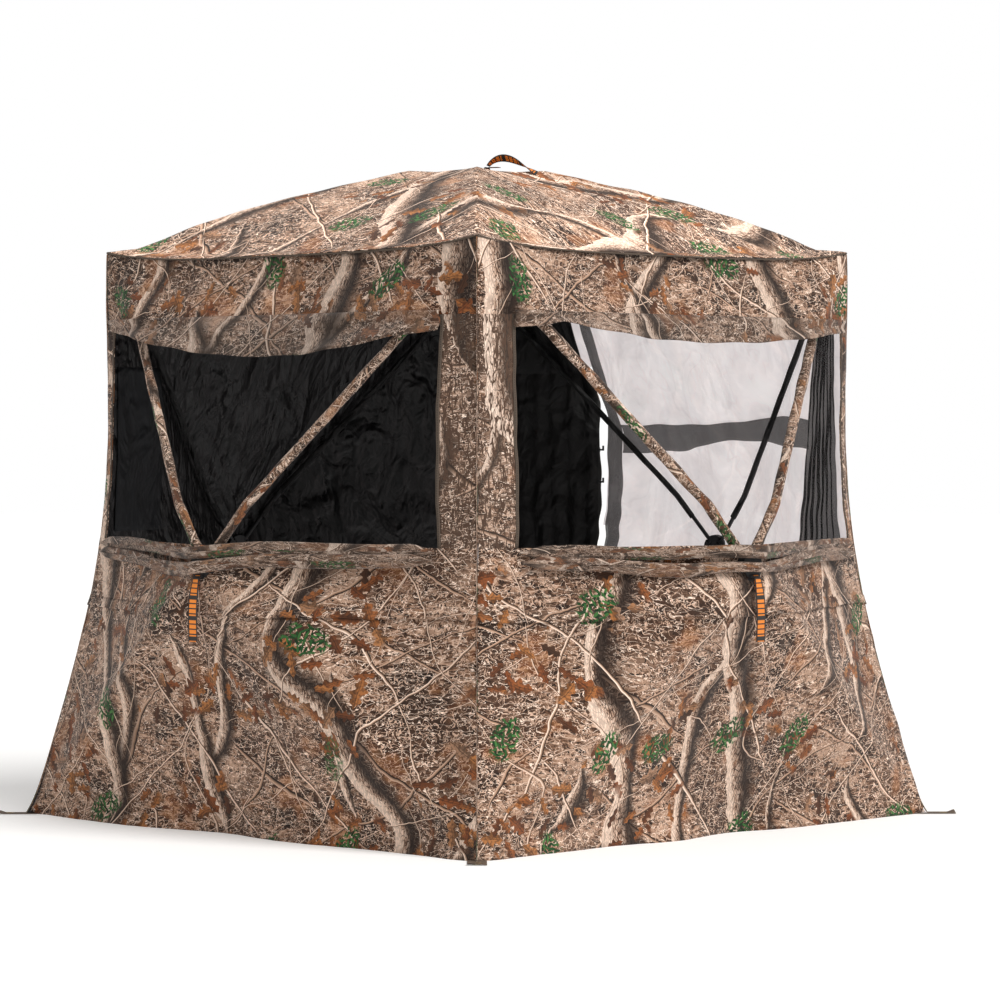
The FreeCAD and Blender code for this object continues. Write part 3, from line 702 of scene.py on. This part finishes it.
def cloth_relief(y, z, seed):
    """Pulls, puckers and sags of a stretched wall, outward in metres."""
    hub_z = WALL_HUB[2]
    radius = np.hypot(y, z - hub_z)
    angle = np.arctan2(z - hub_z, y)
    across = ridge_at(z)[1]
    half = corner_half(z)
    from_ridge = np.abs(np.abs(y) - across)
    side = np.clip((np.abs(y) - across) / np.maximum(half - across, 0.05), 0, 1)
    relief = -0.010 * np.sin(math.pi * side) * smooth(from_ridge / 0.12)
    middle = np.clip(1 - np.abs(y) / np.maximum(across, 0.05), 0, 1)
    relief += -0.012 * smooth(middle) * smooth(radius / 0.35)
    fan = np.sin(angle * 23 + 2.0 * ripple(angle, radius, seed, 3.0))
    relief += 0.0026 * fan * smooth((radius - 0.04) / 0.15) * smooth((0.85 - radius) / 0.5)
    relief += 0.0030 * ripple(y, z * 0.6, seed + 1, 16.0) * smooth(from_ridge / 0.05)
    relief += 0.0012 * ripple(y * 1.4, z, seed + 2, 55.0)
    pucker = np.sin(y * 150 + 3 * ripple(y, z, seed + 3, 6.0))
    relief += 0.0012 * pucker * np.exp(-np.abs(z - eave_z(y / half)) / 0.035)
    relief += 0.0012 * pucker * np.exp(-np.abs(z - SEAM_Z) / 0.03)
    hem = np.exp(-z / HEM_HEIGHT) * smooth((half - np.abs(y)) / 0.10)
    relief += hem * (0.012 + 0.011 * ripple(y, z * 0, seed + 4, 11.0))
    return relief


def cell_middles(values):
    """A grid's values at the middle of its cells."""
    return (values[:-1, :-1] + values[1:, 1:]) / 2


def turn_points(points, degrees):
    """Points turned about the blind's upright axis."""
    c, s = math.cos(math.radians(degrees)), math.sin(math.radians(degrees))
    x, y, z = points[..., 0], points[..., 1], points[..., 2]
    return np.stack([x * c - y * s, x * s + y * c, z], -1)


# ---- mesh helpers


def grid_object(name, points, uvs, materials, keep=None, which=None, closed=False):
    """A sheet from a grid of points (rows by columns), with cloth coordinates on its corners."""
    rows, columns = points.shape[:2]
    wrap = columns if closed else columns - 1
    faces, chosen, corners = [], [], []
    for i in range(rows - 1):
        for j in range(wrap):
            if keep is not None and not keep[i, j]:
                continue
            k = (j + 1) % columns
            this, after = i * columns, (i + 1) * columns
            faces.append((this + j, this + k, after + k, after + j))
            chosen.append(0 if which is None else int(which[i, j]))
            corners.extend((uvs[i, j], uvs[i, j + 1], uvs[i + 1, j + 1], uvs[i + 1, j]))
    used = sorted({v for face in faces for v in face})
    number = {v: n for n, v in enumerate(used)}
    flat = points.reshape(-1, 3)
    mesh = bpy.data.meshes.new(name)
    mesh.from_pydata([tuple(flat[v]) for v in used], [], [tuple(number[v] for v in f) for f in faces])
    layer = mesh.uv_layers.new(name="cloth")
    layer.data.foreach_set("uv", np.array(corners, np.float32).ravel())
    mesh.polygons.foreach_set("material_index", chosen)
    mesh.polygons.foreach_set("use_smooth", [True] * len(faces))
    for material in materials:
        mesh.materials.append(material)
    piece = bpy.data.objects.new(name, mesh)
    bpy.context.collection.objects.link(piece)
    return piece


def thicken(piece, thickness, inner_offset=0, offset=-1.0):
    """Gives a sheet its thickness, behind its outer face, with the inner face in another material."""
    solid = piece.modifiers.new("thickness", "SOLIDIFY")
    solid.thickness = thickness
    solid.offset = offset
    solid.material_offset = inner_offset
    solid.material_offset_rim = 0
    return piece


def wall_points(x, y, z, side):
    """Places on the wall facing +X, turned to where the wall is."""
    return turn_points(np.stack([x, y, z], -1), SIDES[side])


def wall_sheet(name, side, ys, zs, lift, materials, keep=None, which=None, seed=None, relief=1.0,
               fold=0.0):
    """A sheet on a wall's surface: ys and zs are 2-D arrays of places on the wall facing +X.

    It shares the wall's own relief unless it has another seed, and stands lift and fold out from it.
    """
    seed = RELIEF_SEEDS * NUMBERS[side] if seed is None else seed
    x = wall_x(ys, zs) + lift + relief * cloth_relief(ys, zs, seed) + fold
    uvs = np.stack([ys + UV_SHIFT * NUMBERS[side], zs], -1)
    return grid_object(name, wall_points(x, ys, zs, side), uvs, materials, keep, which)


def settle(piece, wall=None, body="root", node=None):
    """The piece is baked in place on a wall, or rides on a body; node is the CAD node it takes the place
    of.
    """
    if wall:
        follow_wall(piece)
    else:
        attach(piece, body)
    if node:
        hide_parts(node)


def follow_wall(piece):
    """Bakes the piece's place on its wall into its mesh."""
    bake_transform(piece)


def steps(*stops):
    """Evenly stepped values through the stops, each stop included."""
    found = [stops[0]]
    for a, b in zip(stops, stops[1:]):
        count = max(1, round(abs(b - a) / GRID))
        found.extend(a + (b - a) * (i + 1) / count for i in range(count))
    return np.array(found)


def window_shares(near_hand):
    """The window's sides as shares of the wall's half width, and the post's share."""
    near = (EAVE_HALF - POST_WIDTH) / EAVE_HALF
    far = (EAVE_HALF - EDGE_WIDTH) / EAVE_HALF
    return (-far, near) if near_hand > 0 else (-near, far)


def wall_grid(shares, heights):
    """Places on a whole wall for shares across it and heights up it; the top follows the eave."""
    s, z = np.meshgrid(shares, heights)
    top = eave_z(s) - 0.0005
    z = np.where(z > HEAD_Z, HEAD_Z + (z - HEAD_Z) * (top - HEAD_Z) / (EAVE_Z - HEAD_Z), z)
    return s * corner_half(z), z, s


def make_wall(side, near_hand=0):
    """One wall's fabric; near_hand says at which hand the window's wide post is, or 0 for no window."""
    low, high = window_shares(near_hand) if near_hand else (-0.9, 0.9)
    shares = steps(-1.0 * EAVE_HALF, low * EAVE_HALF, high * EAVE_HALF, EAVE_HALF) / EAVE_HALF
    heights = steps(0.0, SILL_Z, HEAD_Z, EAVE_Z)
    ys, zs, s = wall_grid(shares, heights)
    cell_s, cell_z = cell_middles(s), cell_middles(zs)
    level = (cell_z > SILL_Z) & (cell_z < HEAD_Z)
    keep = np.ones(cell_s.shape, bool)
    which = np.zeros(cell_s.shape, int)
    outer, inner = CAMO, LINING
    if near_hand:
        keep &= ~(level & (cell_s > low) & (cell_s < high))
        which[level & (cell_s * near_hand > 0)] = 2
    if side == "back":
        outer, inner = CAMO_SEE, SEE_LINING
        keep &= ~door_hole(ys, zs)
    materials = [outer, inner, CAMO_POST, LINING]
    wall = wall_sheet(f"{side}_wall_fabric", side, ys, zs, 0.0, materials, keep, which)
    settle(thicken(wall, FABRIC_THICKNESS, 1), side, node=f"{side}_wall")


# ---- back wall door

DOOR_LOW_Z, DOOR_HIGH_Z = 0.150, 1.180
DOOR_HIGH_Y = EAVE_HALF - 0.040
DOOR_Y = EAVE_HALF - 0.322
STRIP_TOP_Z = 1.370
GAP_Y = DOOR_Y - 0.043


def door_hole(ys, zs):
    cell_y, cell_z = cell_middles(ys), cell_middles(zs)
    return (cell_y > GAP_Y) & (cell_y < DOOR_HIGH_Y) & (cell_z > DOOR_LOW_Z) & (cell_z < DOOR_HIGH_Z)


def patch_grid(y_low, y_high, z_low, z_high, step=GRID):
    across = np.linspace(y_low, y_high, max(3, round((y_high - y_low) / step)))
    up = np.linspace(z_low, z_high, max(3, round((z_high - z_low) / step)))
    return np.meshgrid(across, up)


def make_door():
    """The door flap with its soft upright folds, black inside and printed outside."""
    low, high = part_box("door_flap")
    ys, zs = patch_grid(DOOR_Y - 0.012, DOOR_HIGH_Y + 0.022, low[2], high[2], 0.008)
    free = smooth((DOOR_HIGH_Y - ys) / 0.20)
    fold = 0.004 * free * (1 + np.sin(ys * 135 + 1.2 * np.sin(zs * 5)))
    fold += 0.002 * free * ripple(ys * 3, zs, 71, 14.0)
    flap = wall_sheet("door_flap_cloth", "back", ys, zs, 0.0080, [CAMO, FLAP_BLACK], fold=fold)
    settle(thicken(flap, FABRIC_THICKNESS, 1), body="door_flap", node="door_flap")


def make_inner_mesh():
    """Net strip beside the door, the net band across the wall, and the gathered net in the corner."""
    ys, zs = patch_grid(GAP_Y - 0.040, GAP_Y - 0.002, DOOR_LOW_Z, STRIP_TOP_Z, 0.007)
    strip = wall_sheet("door_edge_strip", "back", ys, zs, -0.0055, [NET_GREY])
    low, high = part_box("back_corner_mesh_curtain")
    near, far = -high[0], -low[0]
    ys, zs = patch_grid(far - 0.006, GAP_Y - 0.043, 0.945, 1.025, 0.010)
    share = (ys - ys.min()) / (ys.max() - ys.min())
    narrow = 1 - 0.42 * np.exp(-((share - 0.50) / 0.22) ** 2) + 0.05 * ripple(ys, zs * 0, 12, 20.0)
    middle = 0.988 + 0.012 * np.sin(share * 5.2)
    zs = middle + (zs - 0.985) * narrow + 0.002 * ripple(ys, zs * 0, 14, 40.0)
    fold = -0.0015 + 0.0015 * np.sin(zs * 420)
    band = wall_sheet("net_band", "back", ys, zs, -0.0060, [NET], fold=fold)
    for piece, width, length in ((strip, 0.042, 1.240), (band, 0.800, 0.080)):
        settle(thicken(piece, NET_THICKNESS), "back", node="back_inner_mesh")
    ys, zs = patch_grid(near, far, low[2] - 0.10, STRIP_TOP_Z, 0.004)
    spread = np.interp(zs, (low[2], STRIP_TOP_Z), (1.45, 0.42))
    phase = (ys - near) * 2 * math.pi / 0.019
    ys = near - 0.016 + (ys - near) * spread
    fold = 0.008 * np.sin(phase + 0.8 * np.sin(zs * 9)) * (0.4 + 0.6 * spread) - 0.014
    fold += 0.002 * ripple(phase * 0.3, zs * 6, 88, 3.0)
    curtain = wall_sheet("corner_net_curtain", "back", ys, zs, -0.003, [NET], fold=fold)
    settle(thicken(curtain, NET_THICKNESS), "back", node="back_corner_mesh_curtain")


def make_door_head():
    """Black lining inside the back wall: over the door up to the eave, and a tape down its far edge."""
    ys, zs = patch_grid(DOOR_Y - 0.012, EAVE_HALF - 0.020, DOOR_HIGH_Z - 0.020, STRIP_TOP_Z + 0.020)
    fold = 0.002 * ripple(ys * 2, zs * 0.5, 45, 25.0)
    head = wall_sheet("door_head_lining", "back", ys, zs, -0.0065, [FLAP_BLACK], fold=fold)
    settle(thicken(head, LINING_THICKNESS), "back")
    ys, zs = patch_grid(DOOR_HIGH_Y - 0.014, DOOR_HIGH_Y + 0.014, DOOR_LOW_Z - 0.010, DOOR_HIGH_Z, 0.007)
    jamb = wall_sheet("door_jamb_tape", "back", ys, zs, -0.0045, [FLAP_BLACK])
    settle(thicken(jamb, 0.0008), "back")


def make_left_panel():
    """The smooth black panel inside the left wall."""
    low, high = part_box("left_blackout_panel")
    ys, zs = patch_grid(-high[1], -low[1], low[2], high[2])
    panel = wall_sheet("left_panel", "left", ys, zs, -0.0035, [PANEL_BLACK])
    settle(thicken(panel, LINING_THICKNESS), "left", node="left_blackout_panel")


# ---- windows


def make_valance(side, near_hand, drops):
    """The muted net that hangs in a swag from the window's head; drops run from the wall's left."""
    low, high = window_shares(near_hand)
    half = float(corner_half(HEAD_Z))
    across = np.linspace(low * half - 0.008, high * half + 0.008, 120)
    down = np.linspace(0.0, 1.0, 12)
    ys, fall = np.meshgrid(across, down)
    share = (ys - across[0]) / (across[-1] - across[0])
    drop = np.interp(share, np.linspace(0, 1, len(drops)), drops)
    drop = drop + 0.0015 * np.sin(share * 40) * smooth(fall)
    zs = HEAD_Z + 0.010 - fall * (drop + 0.010)
    sag = 0.004 * np.sin(fall * math.pi * 2.2 + 2 * np.sin(share * 9))
    sag = sag + 0.003 * ripple(ys, zs * 3, 5, 22.0)
    piece = wall_sheet(f"{side}_valance", side, ys[::-1], zs[::-1], 0.0035, [CAMO_MESH], seed=0,
                       relief=0.4, fold=(0.004 + sag)[::-1])
    settle(thicken(piece, LINING_THICKNESS), side, node=f"{side}_window_valance")


def make_roll(side, near_hand, sags, seed):
    """The lowered shade: a flat upper fold and a loose roll below it, gathered along the sill."""
    low, high = window_shares(near_hand)
    half = float(corner_half(SILL_Z))
    across = np.linspace(low * half - 0.004, high * half + 0.004, 160)
    turn, y = np.meshgrid(np.linspace(0, 2 * math.pi, 19), across)
    share = (y - across[0]) / (across[-1] - across[0])
    ends = smooth(share / 0.05) * smooth((1 - share) / 0.05) * 0.75 + 0.25
    for number, (depth, below) in enumerate(((0.006, 0.010), (0.011, 0.030))):
        sag = np.interp(share, np.linspace(0, 1, len(sags)), sags) * (0.25 + 0.75 * number)
        wrinkle = 1 + 0.22 * ripple(y * 2.0, turn * 0.9, seed + number, 5.0)
        centre = SILL_Z - below - sag + 0.003 * ripple(y, y * 0, seed + 7, 14.0)
        z = centre + np.sin(turn) * ROLL_HEIGHT / 2 * ends * wrinkle
        out = 0.004 + depth * (1 + np.cos(turn) * wrinkle * ends) * 0.9
        x = wall_x(y, centre) + out + 0.010 * smooth((0.10 - np.abs(y)) / 0.06)
        uvs = np.stack([y + 40 + number, turn * 0.02 + z], -1)
        name = f"{side}_shade_roll_{number + 1}"
        roll = grid_object(name, wall_points(x, y, z, side), uvs, [CAMO_MESH])
        settle(roll, side, node=f"{side}_window_shade_roll")


def run_along(points):
    """How far along a line each of its points is."""
    return np.concatenate([[0], np.cumsum(np.linalg.norm(np.diff(points, axis=0), axis=1))])


def make_binding(name, side, path):
    """Stitched tape along a path of (y, z) places on a wall."""
    path = np.array(path, float)
    lengths = run_along(path)
    stations = np.linspace(0, lengths[-1], max(3, round(lengths[-1] / 0.012)))
    y = np.interp(stations, lengths, path[:, 0])
    z = np.interp(stations, lengths, path[:, 1])
    along = np.stack([np.gradient(y), np.gradient(z)])
    along = along / np.linalg.norm(along, axis=0)
    offsets = np.linspace(-BINDING_WIDTH / 2, BINDING_WIDTH / 2, 5)[:, None]
    ys = y - offsets * -along[1]
    zs = z - offsets * along[0]
    crown = 0.0008 * (1 - (2 * offsets / BINDING_WIDTH) ** 2)
    x = wall_x(ys, zs) + cloth_relief(ys, zs, RELIEF_SEEDS * NUMBERS[side]) + 0.0012 + crown
    uvs = np.stack(np.broadcast_arrays(stations, offsets), -1)
    tape = grid_object(name, wall_points(x, ys, zs, side)[::-1], uvs[::-1], [BINDING])
    settle(thicken(tape, 0.0009), side)


def make_seam(side):
    """The upper panel's free hem, which laps over the lower panel and stands a little off it."""
    half = float(corner_half(SEAM_Z))
    ys, rise = np.meshgrid(np.linspace(-half + 0.002, half - 0.002, 150), np.linspace(0.0, 1.0, 5))
    wander = 0.004 * np.sin(ys * 3) + 0.0015 * ripple(ys, ys * 0, 61, 30.0)
    zs = SEAM_Z + wander + rise * SEAM_HEIGHT
    off = 0.0012 + (1 - rise) * (0.0042 + 0.0020 * ripple(ys, zs, 62, 26.0))
    cloth, keep = CAMO, None
    if side == "back":
        cloth, keep = CAMO_SEE, (cell_middles(ys) < GAP_Y) | (cell_middles(ys) > DOOR_HIGH_Y)
    band = wall_sheet(f"{side}_seam_hem", side, ys, zs, 0.0, [cloth], keep, fold=off)
    settle(thicken(band, 0.0012), side)


def make_wall_trim(side, near_hand):
    """The lapped seam across the wall, and tape down the sides of its window."""
    make_seam(side)
    if not near_hand:
        return
    low, high = window_shares(near_hand)
    for name, share, turn in (("left", low, 1), ("right", high, -1)):
        zs = np.linspace(SILL_Z, HEAD_Z, 30)
        edge = [(share * float(corner_half(z)) - turn * 0.004, z) for z in zs]
        make_binding(f"{side}_window_edge_{name}", side, edge)


# ---- poles, sleeves, straps


def tube(name, centres, normals, radii, uvs_shift, materials):
    """A closed tube about a line of centres; radii is stations by points around."""
    around = radii.shape[1]
    tangent = np.gradient(centres, axis=0)
    tangent /= np.linalg.norm(tangent, axis=1)[:, None]
    first = normals - tangent * (normals * tangent).sum(1)[:, None]
    first /= np.linalg.norm(first, axis=1)[:, None]
    second = np.cross(tangent, first)
    angles = np.arange(around) * 2 * math.pi / around
    ring = first[:, None, :] * np.cos(angles)[:, None] + second[:, None, :] * np.sin(angles)[:, None]
    points = centres[:, None, :] + ring * radii[:, :, None]
    turn = np.arange(around + 1) * 0.09 / around
    uvs = np.stack(np.broadcast_arrays(turn + uvs_shift, run_along(centres)[:, None] + uvs_shift), -1)
    return grid_object(name, points, uvs, materials, closed=True)


def make_sleeve(side, place, z_low, z_high, radius, inward, material, seed):
    """A wrinkled cloth sleeve round a wall pole, where the pole crosses an opening."""
    anchor = TOP_ANCHOR * np.array([1, 1 if place.endswith("right") else -1, 1])
    pin, bend, tip = pole_points(WALL_HUB, WALL_NORMAL, anchor)
    heights = np.linspace(z_low, z_high, 110)
    line = np.array([pin, bend, tip])
    centres = np.stack([np.interp(heights, line[:, 2], line[:, k]) for k in range(3)], -1)
    centres = turn_points(centres - WALL_NORMAL * inward, SIDES[side])
    turn, up = np.meshgrid(np.arange(20) * 2 * math.pi / 20, np.linspace(0, z_high - z_low, 110))
    swell = 1 + 0.06 * np.sin(up * 70 + 2 * np.sin(turn + seed)) * np.sin(turn * 1 + up * 9 + seed)
    swell += 0.06 * ripple(np.cos(turn) * 0.5, up * 2, seed, 24.0)
    flat = 1 + 0.14 * np.abs(np.sin(turn + 0.4)) ** 3
    normal = turn_points(WALL_NORMAL, SIDES[side])
    radii = radius * swell * flat
    sleeve = tube(f"{side}_sleeve_{place}", centres, normal, radii, 50 + seed, [material])
    settle(sleeve, body=f"{side}_pole_{place}")


def strip_object(name, points, side, width, thickness=0.0016, uv_start=0.0):
    """A flat strap along a line of points; side is its width direction, at each point or for all."""
    offsets = np.linspace(-0.5, 0.5, 7)
    grid = points[:, None, :] + side[..., None, :] * offsets[:, None] * width
    length = run_along(points) + uv_start
    uvs = np.stack(np.broadcast_arrays(offsets * width, length[:, None]), -1)
    return thicken(grid_object(name, grid, uvs, [STRAP]), thickness, offset=0.0)


def make_strap(name, normal):
    """A pull strap: webbing that hangs in a soft bow from its bar, with a folded end."""
    joint = JOINTS[f"{name}_pull_strap_swing"]
    bar = np.array(joint["pos_m"])
    axis = np.array(joint["axis"])
    hang = np.cross(normal, axis)
    far = max(np.linalg.norm((np.array(c) - bar) * np.abs(hang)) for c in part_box(f"{name}_pull_strap"))
    length = min(far, STRAP_LENGTH)
    face = np.cross(axis, hang)
    face = face if face.dot(normal) > 0 else -face
    along = np.linspace(0.003, length, 44)
    if name == "roof":
        run = along / length
        rise = 0.032 * np.sin(math.pi * run ** 0.7) - 0.016 * run
        twist = 0.9 * np.sin(run * math.pi * 1.2)
    else:
        rise = 0.007 + 0.005 * np.sin(along / length * math.pi * 1.3)
        front_corner = np.array([1.0, -1.0, 0.0])
        hand = -np.sign(axis.dot(front_corner) * face.dot(front_corner))
        twist = hand * 0.50 * smooth(along / length * 2.5)
    points = bar + hang * along[:, None] + face * rise[:, None]
    side = axis * np.cos(twist)[:, None] + face * np.sin(twist)[:, None]
    body = f"{name}_pull_strap"
    settle(strip_object(f"{name}_strap", points, side, STRAP_WIDTH), body=body, node=body)
    turn = np.linspace(0.25, 2 * math.pi - 0.25, 20)[:, None]
    loop = bar + hang * (STRAP_LOOP_R * np.cos(turn)) + face * (STRAP_LOOP_R * np.sin(turn))
    tail = bar + hang * np.linspace(0.006, 0.034, 10)[:, None] + face * 0.0024
    for piece in (
        strip_object(f"{name}_strap_loop", loop, axis, STRAP_WIDTH, 0.0010),
        strip_object(f"{name}_strap_tail", tail, axis, 0.0215, 0.0014, 0.011),
    ):
        settle(piece, body=body)


# ---- roof

ROOF_DOME = 0.032


def roof_height(share):
    """Height of the roof over its poles, at a share of the way from the hub to a corner."""
    _, bend, tip = pole_points(ROOF_HUB, UP, TOP_ANCHOR)
    places = np.array([0.0, bend[0], tip[0], EAVE_HALF]) / EAVE_HALF
    heights = [
        ROOF_HUB[2] + FABRIC_AT_HUB, bend[2] + FABRIC_AT_BEND, tip[2] + FABRIC_AT_TIP, EAVE_Z + 0.003,
    ]
    return np.interp(share, places, heights) + ROOF_DOME * np.sin(math.pi * np.clip(share, 0, 1) ** 1.5)


def roof_z(x, y):
    """The roof's height: level across each slope between two poles, with a little sag."""
    share = np.maximum(np.abs(x), np.abs(y)) / EAVE_HALF
    lean = np.minimum(np.abs(x), np.abs(y)) / np.maximum(np.maximum(np.abs(x), np.abs(y)), 1e-6)
    drop = (EAVE_Z - EAVE_MID_Z) * share ** 3 * (1 - lean ** 4)
    belly = 0.005 * np.sin(math.pi * np.clip(share, 0, 1)) * (1 - lean ** 2)
    relief = 0.0030 * ripple(x, y, 91, 9.0) * (1 - lean ** 3) + 0.0010 * ripple(x, y, 92, 45.0)
    edge = 0.0012 * np.sin((x + y) * 120) * np.exp(-(1 - share) / 0.05)
    hub = smooth((np.hypot(x, y) - CAP_R) / 0.06)
    return roof_height(share) - drop - belly * hub + (relief + edge) * hub


def make_roof():
    """The roof sheet on a square grid, each slope's print running down it."""
    places = steps(-EAVE_HALF, 0.0, EAVE_HALF)
    x, y = np.meshgrid(places, places)
    uvs = np.stack([x * 0.9 + 21.3, y + 8.1], -1)
    roof = grid_object("roof_cloth", np.stack([x, y, roof_z(x, y)], -1), uvs, [CAMO_ROOF_LIT, LINING])
    thicken(roof, FABRIC_THICKNESS, 1)
    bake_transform(roof)
    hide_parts("roof_fabric")


def make_edges():
    """Welts: along each eave and down each corner."""
    count = 130
    radii = 0.0022 * (1 + 0.15 * ripple(np.arange(count)[:, None] * 0.2, np.arange(8)[None, :], 3, 2.0))
    across = np.linspace(-1, 1, count)
    eave = EAVE_HALF + 0.0012, across * EAVE_HALF, eave_z(across) + 0.0005
    z = np.linspace(0.004, EAVE_Z - 0.003, count)
    half = corner_half(z) - 0.0005
    for side, degrees in SIDES.items():
        for kind, line, normal, radius, material in (
            ("eave", eave, UP, radii, BINDING),
            ("corner", (half, half, z), np.array([1.0, -1.0, 0.0]), radii * 0.9, CAMO_SLEEVE),
        ):
            centres = turn_points(np.stack(np.broadcast_arrays(*line), -1), degrees)
            welt = tube(f"{side}_{kind}_welt", centres, normal, radius, 4.0, [material])
            settle(welt)


# ---- ground tabs


def make_tabs():
    """Webbing ground tabs at the corners, curling a little off the ground round their eyelets."""
    start = BASE_HALF * math.sqrt(2) - 0.010
    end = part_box("stake_tabs")[1][0] * math.sqrt(2) - 0.018
    eyelet = (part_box("stake_eyelets")[1][0] - EYELET_R) * math.sqrt(2)
    a, c = np.meshgrid(np.linspace(start, end, 26), np.linspace(-0.023, 0.023, 15), indexing="ij")
    keep = np.hypot(cell_middles(a) - eyelet, cell_middles(c)) > 0.0085
    for number, degrees in enumerate((45, 135, 225, 315)):
        curl = 0.0030 * smooth((a - end + 0.020) / 0.020) * (1 + np.sin(c * 60 + number))
        points = turn_points(np.stack([a, c, 0.0012 + curl], -1), degrees)
        tab = grid_object(f"tab_{number + 1}", points, np.stack([c, a], -1), [TAB_WEB], keep=keep)
        settle(thicken(tab, 0.0011), node="stake_tabs")


# ---- CAD parts that stay


def paint(names, material):
    for name in names:
        piece = frame["nodes"][name]
        piece.data.materials.clear()
        piece.data.materials.append(material)


def paint_cad():
    names = list(frame["nodes"])
    paint([n for n in names if "_pole_" in n], POLE_BLACK)
    paint([n for n in names if n.endswith(("_hub", "_hub_cap", "_fittings"))], NYLON)
    paint(["door_hook_upper", "door_hook_lower"], NYLON)
    paint([n for n in names if n.endswith("_hub_pins")], STEEL)
    paint(["stake_eyelets"], BRASS)
    paint(["door_cord"], CORD)


make_wall("front", 1)
make_wall("right", -1)
make_wall("left")
make_wall("back")
make_roof()
make_edges()
make_valance("front", 1, (0.016, 0.036, 0.060, 0.078, 0.090, 0.094, 0.090, 0.076, 0.056, 0.036))
make_valance("right", -1, (0.030, 0.016, 0.034, 0.050, 0.056, 0.058, 0.054, 0.046, 0.034, 0.020))
make_roll("front", 1, (0.004, 0.010, 0.030, 0.026, 0.010, 0.004, 0.002), 41)
make_roll("right", -1, (0.004, 0.012, 0.028, 0.024, 0.012, 0.008, 0.004), 51)
for wall_side, hand in (("front", 1), ("right", -1), ("back", 0), ("left", 0)):
    make_wall_trim(wall_side, hand)
for wall_side in ("front", "right", "back", "left"):
    for pole, seed in (("top_left", 4), ("top_right", 5)):
        if wall_side in ("front", "right"):
            sizes = SILL_Z - 0.010, HEAD_Z + 0.006, 0.0112, 0.0025
            make_sleeve(wall_side, pole, *sizes, CAMO_SLEEVE, 8 + seed)
        else:
            make_sleeve(wall_side, pole, 0.760, 1.370, 0.0076, 0.0028, FLAP_BLACK, 9 + seed)
make_door()
make_inner_mesh()
make_door_head()
make_left_panel()
make_strap("roof", UP)
for wall_side, wall_turn in SIDES.items():
    make_strap(wall_side, turn_points(WALL_NORMAL, wall_turn))
make_tabs()
paint_cad()
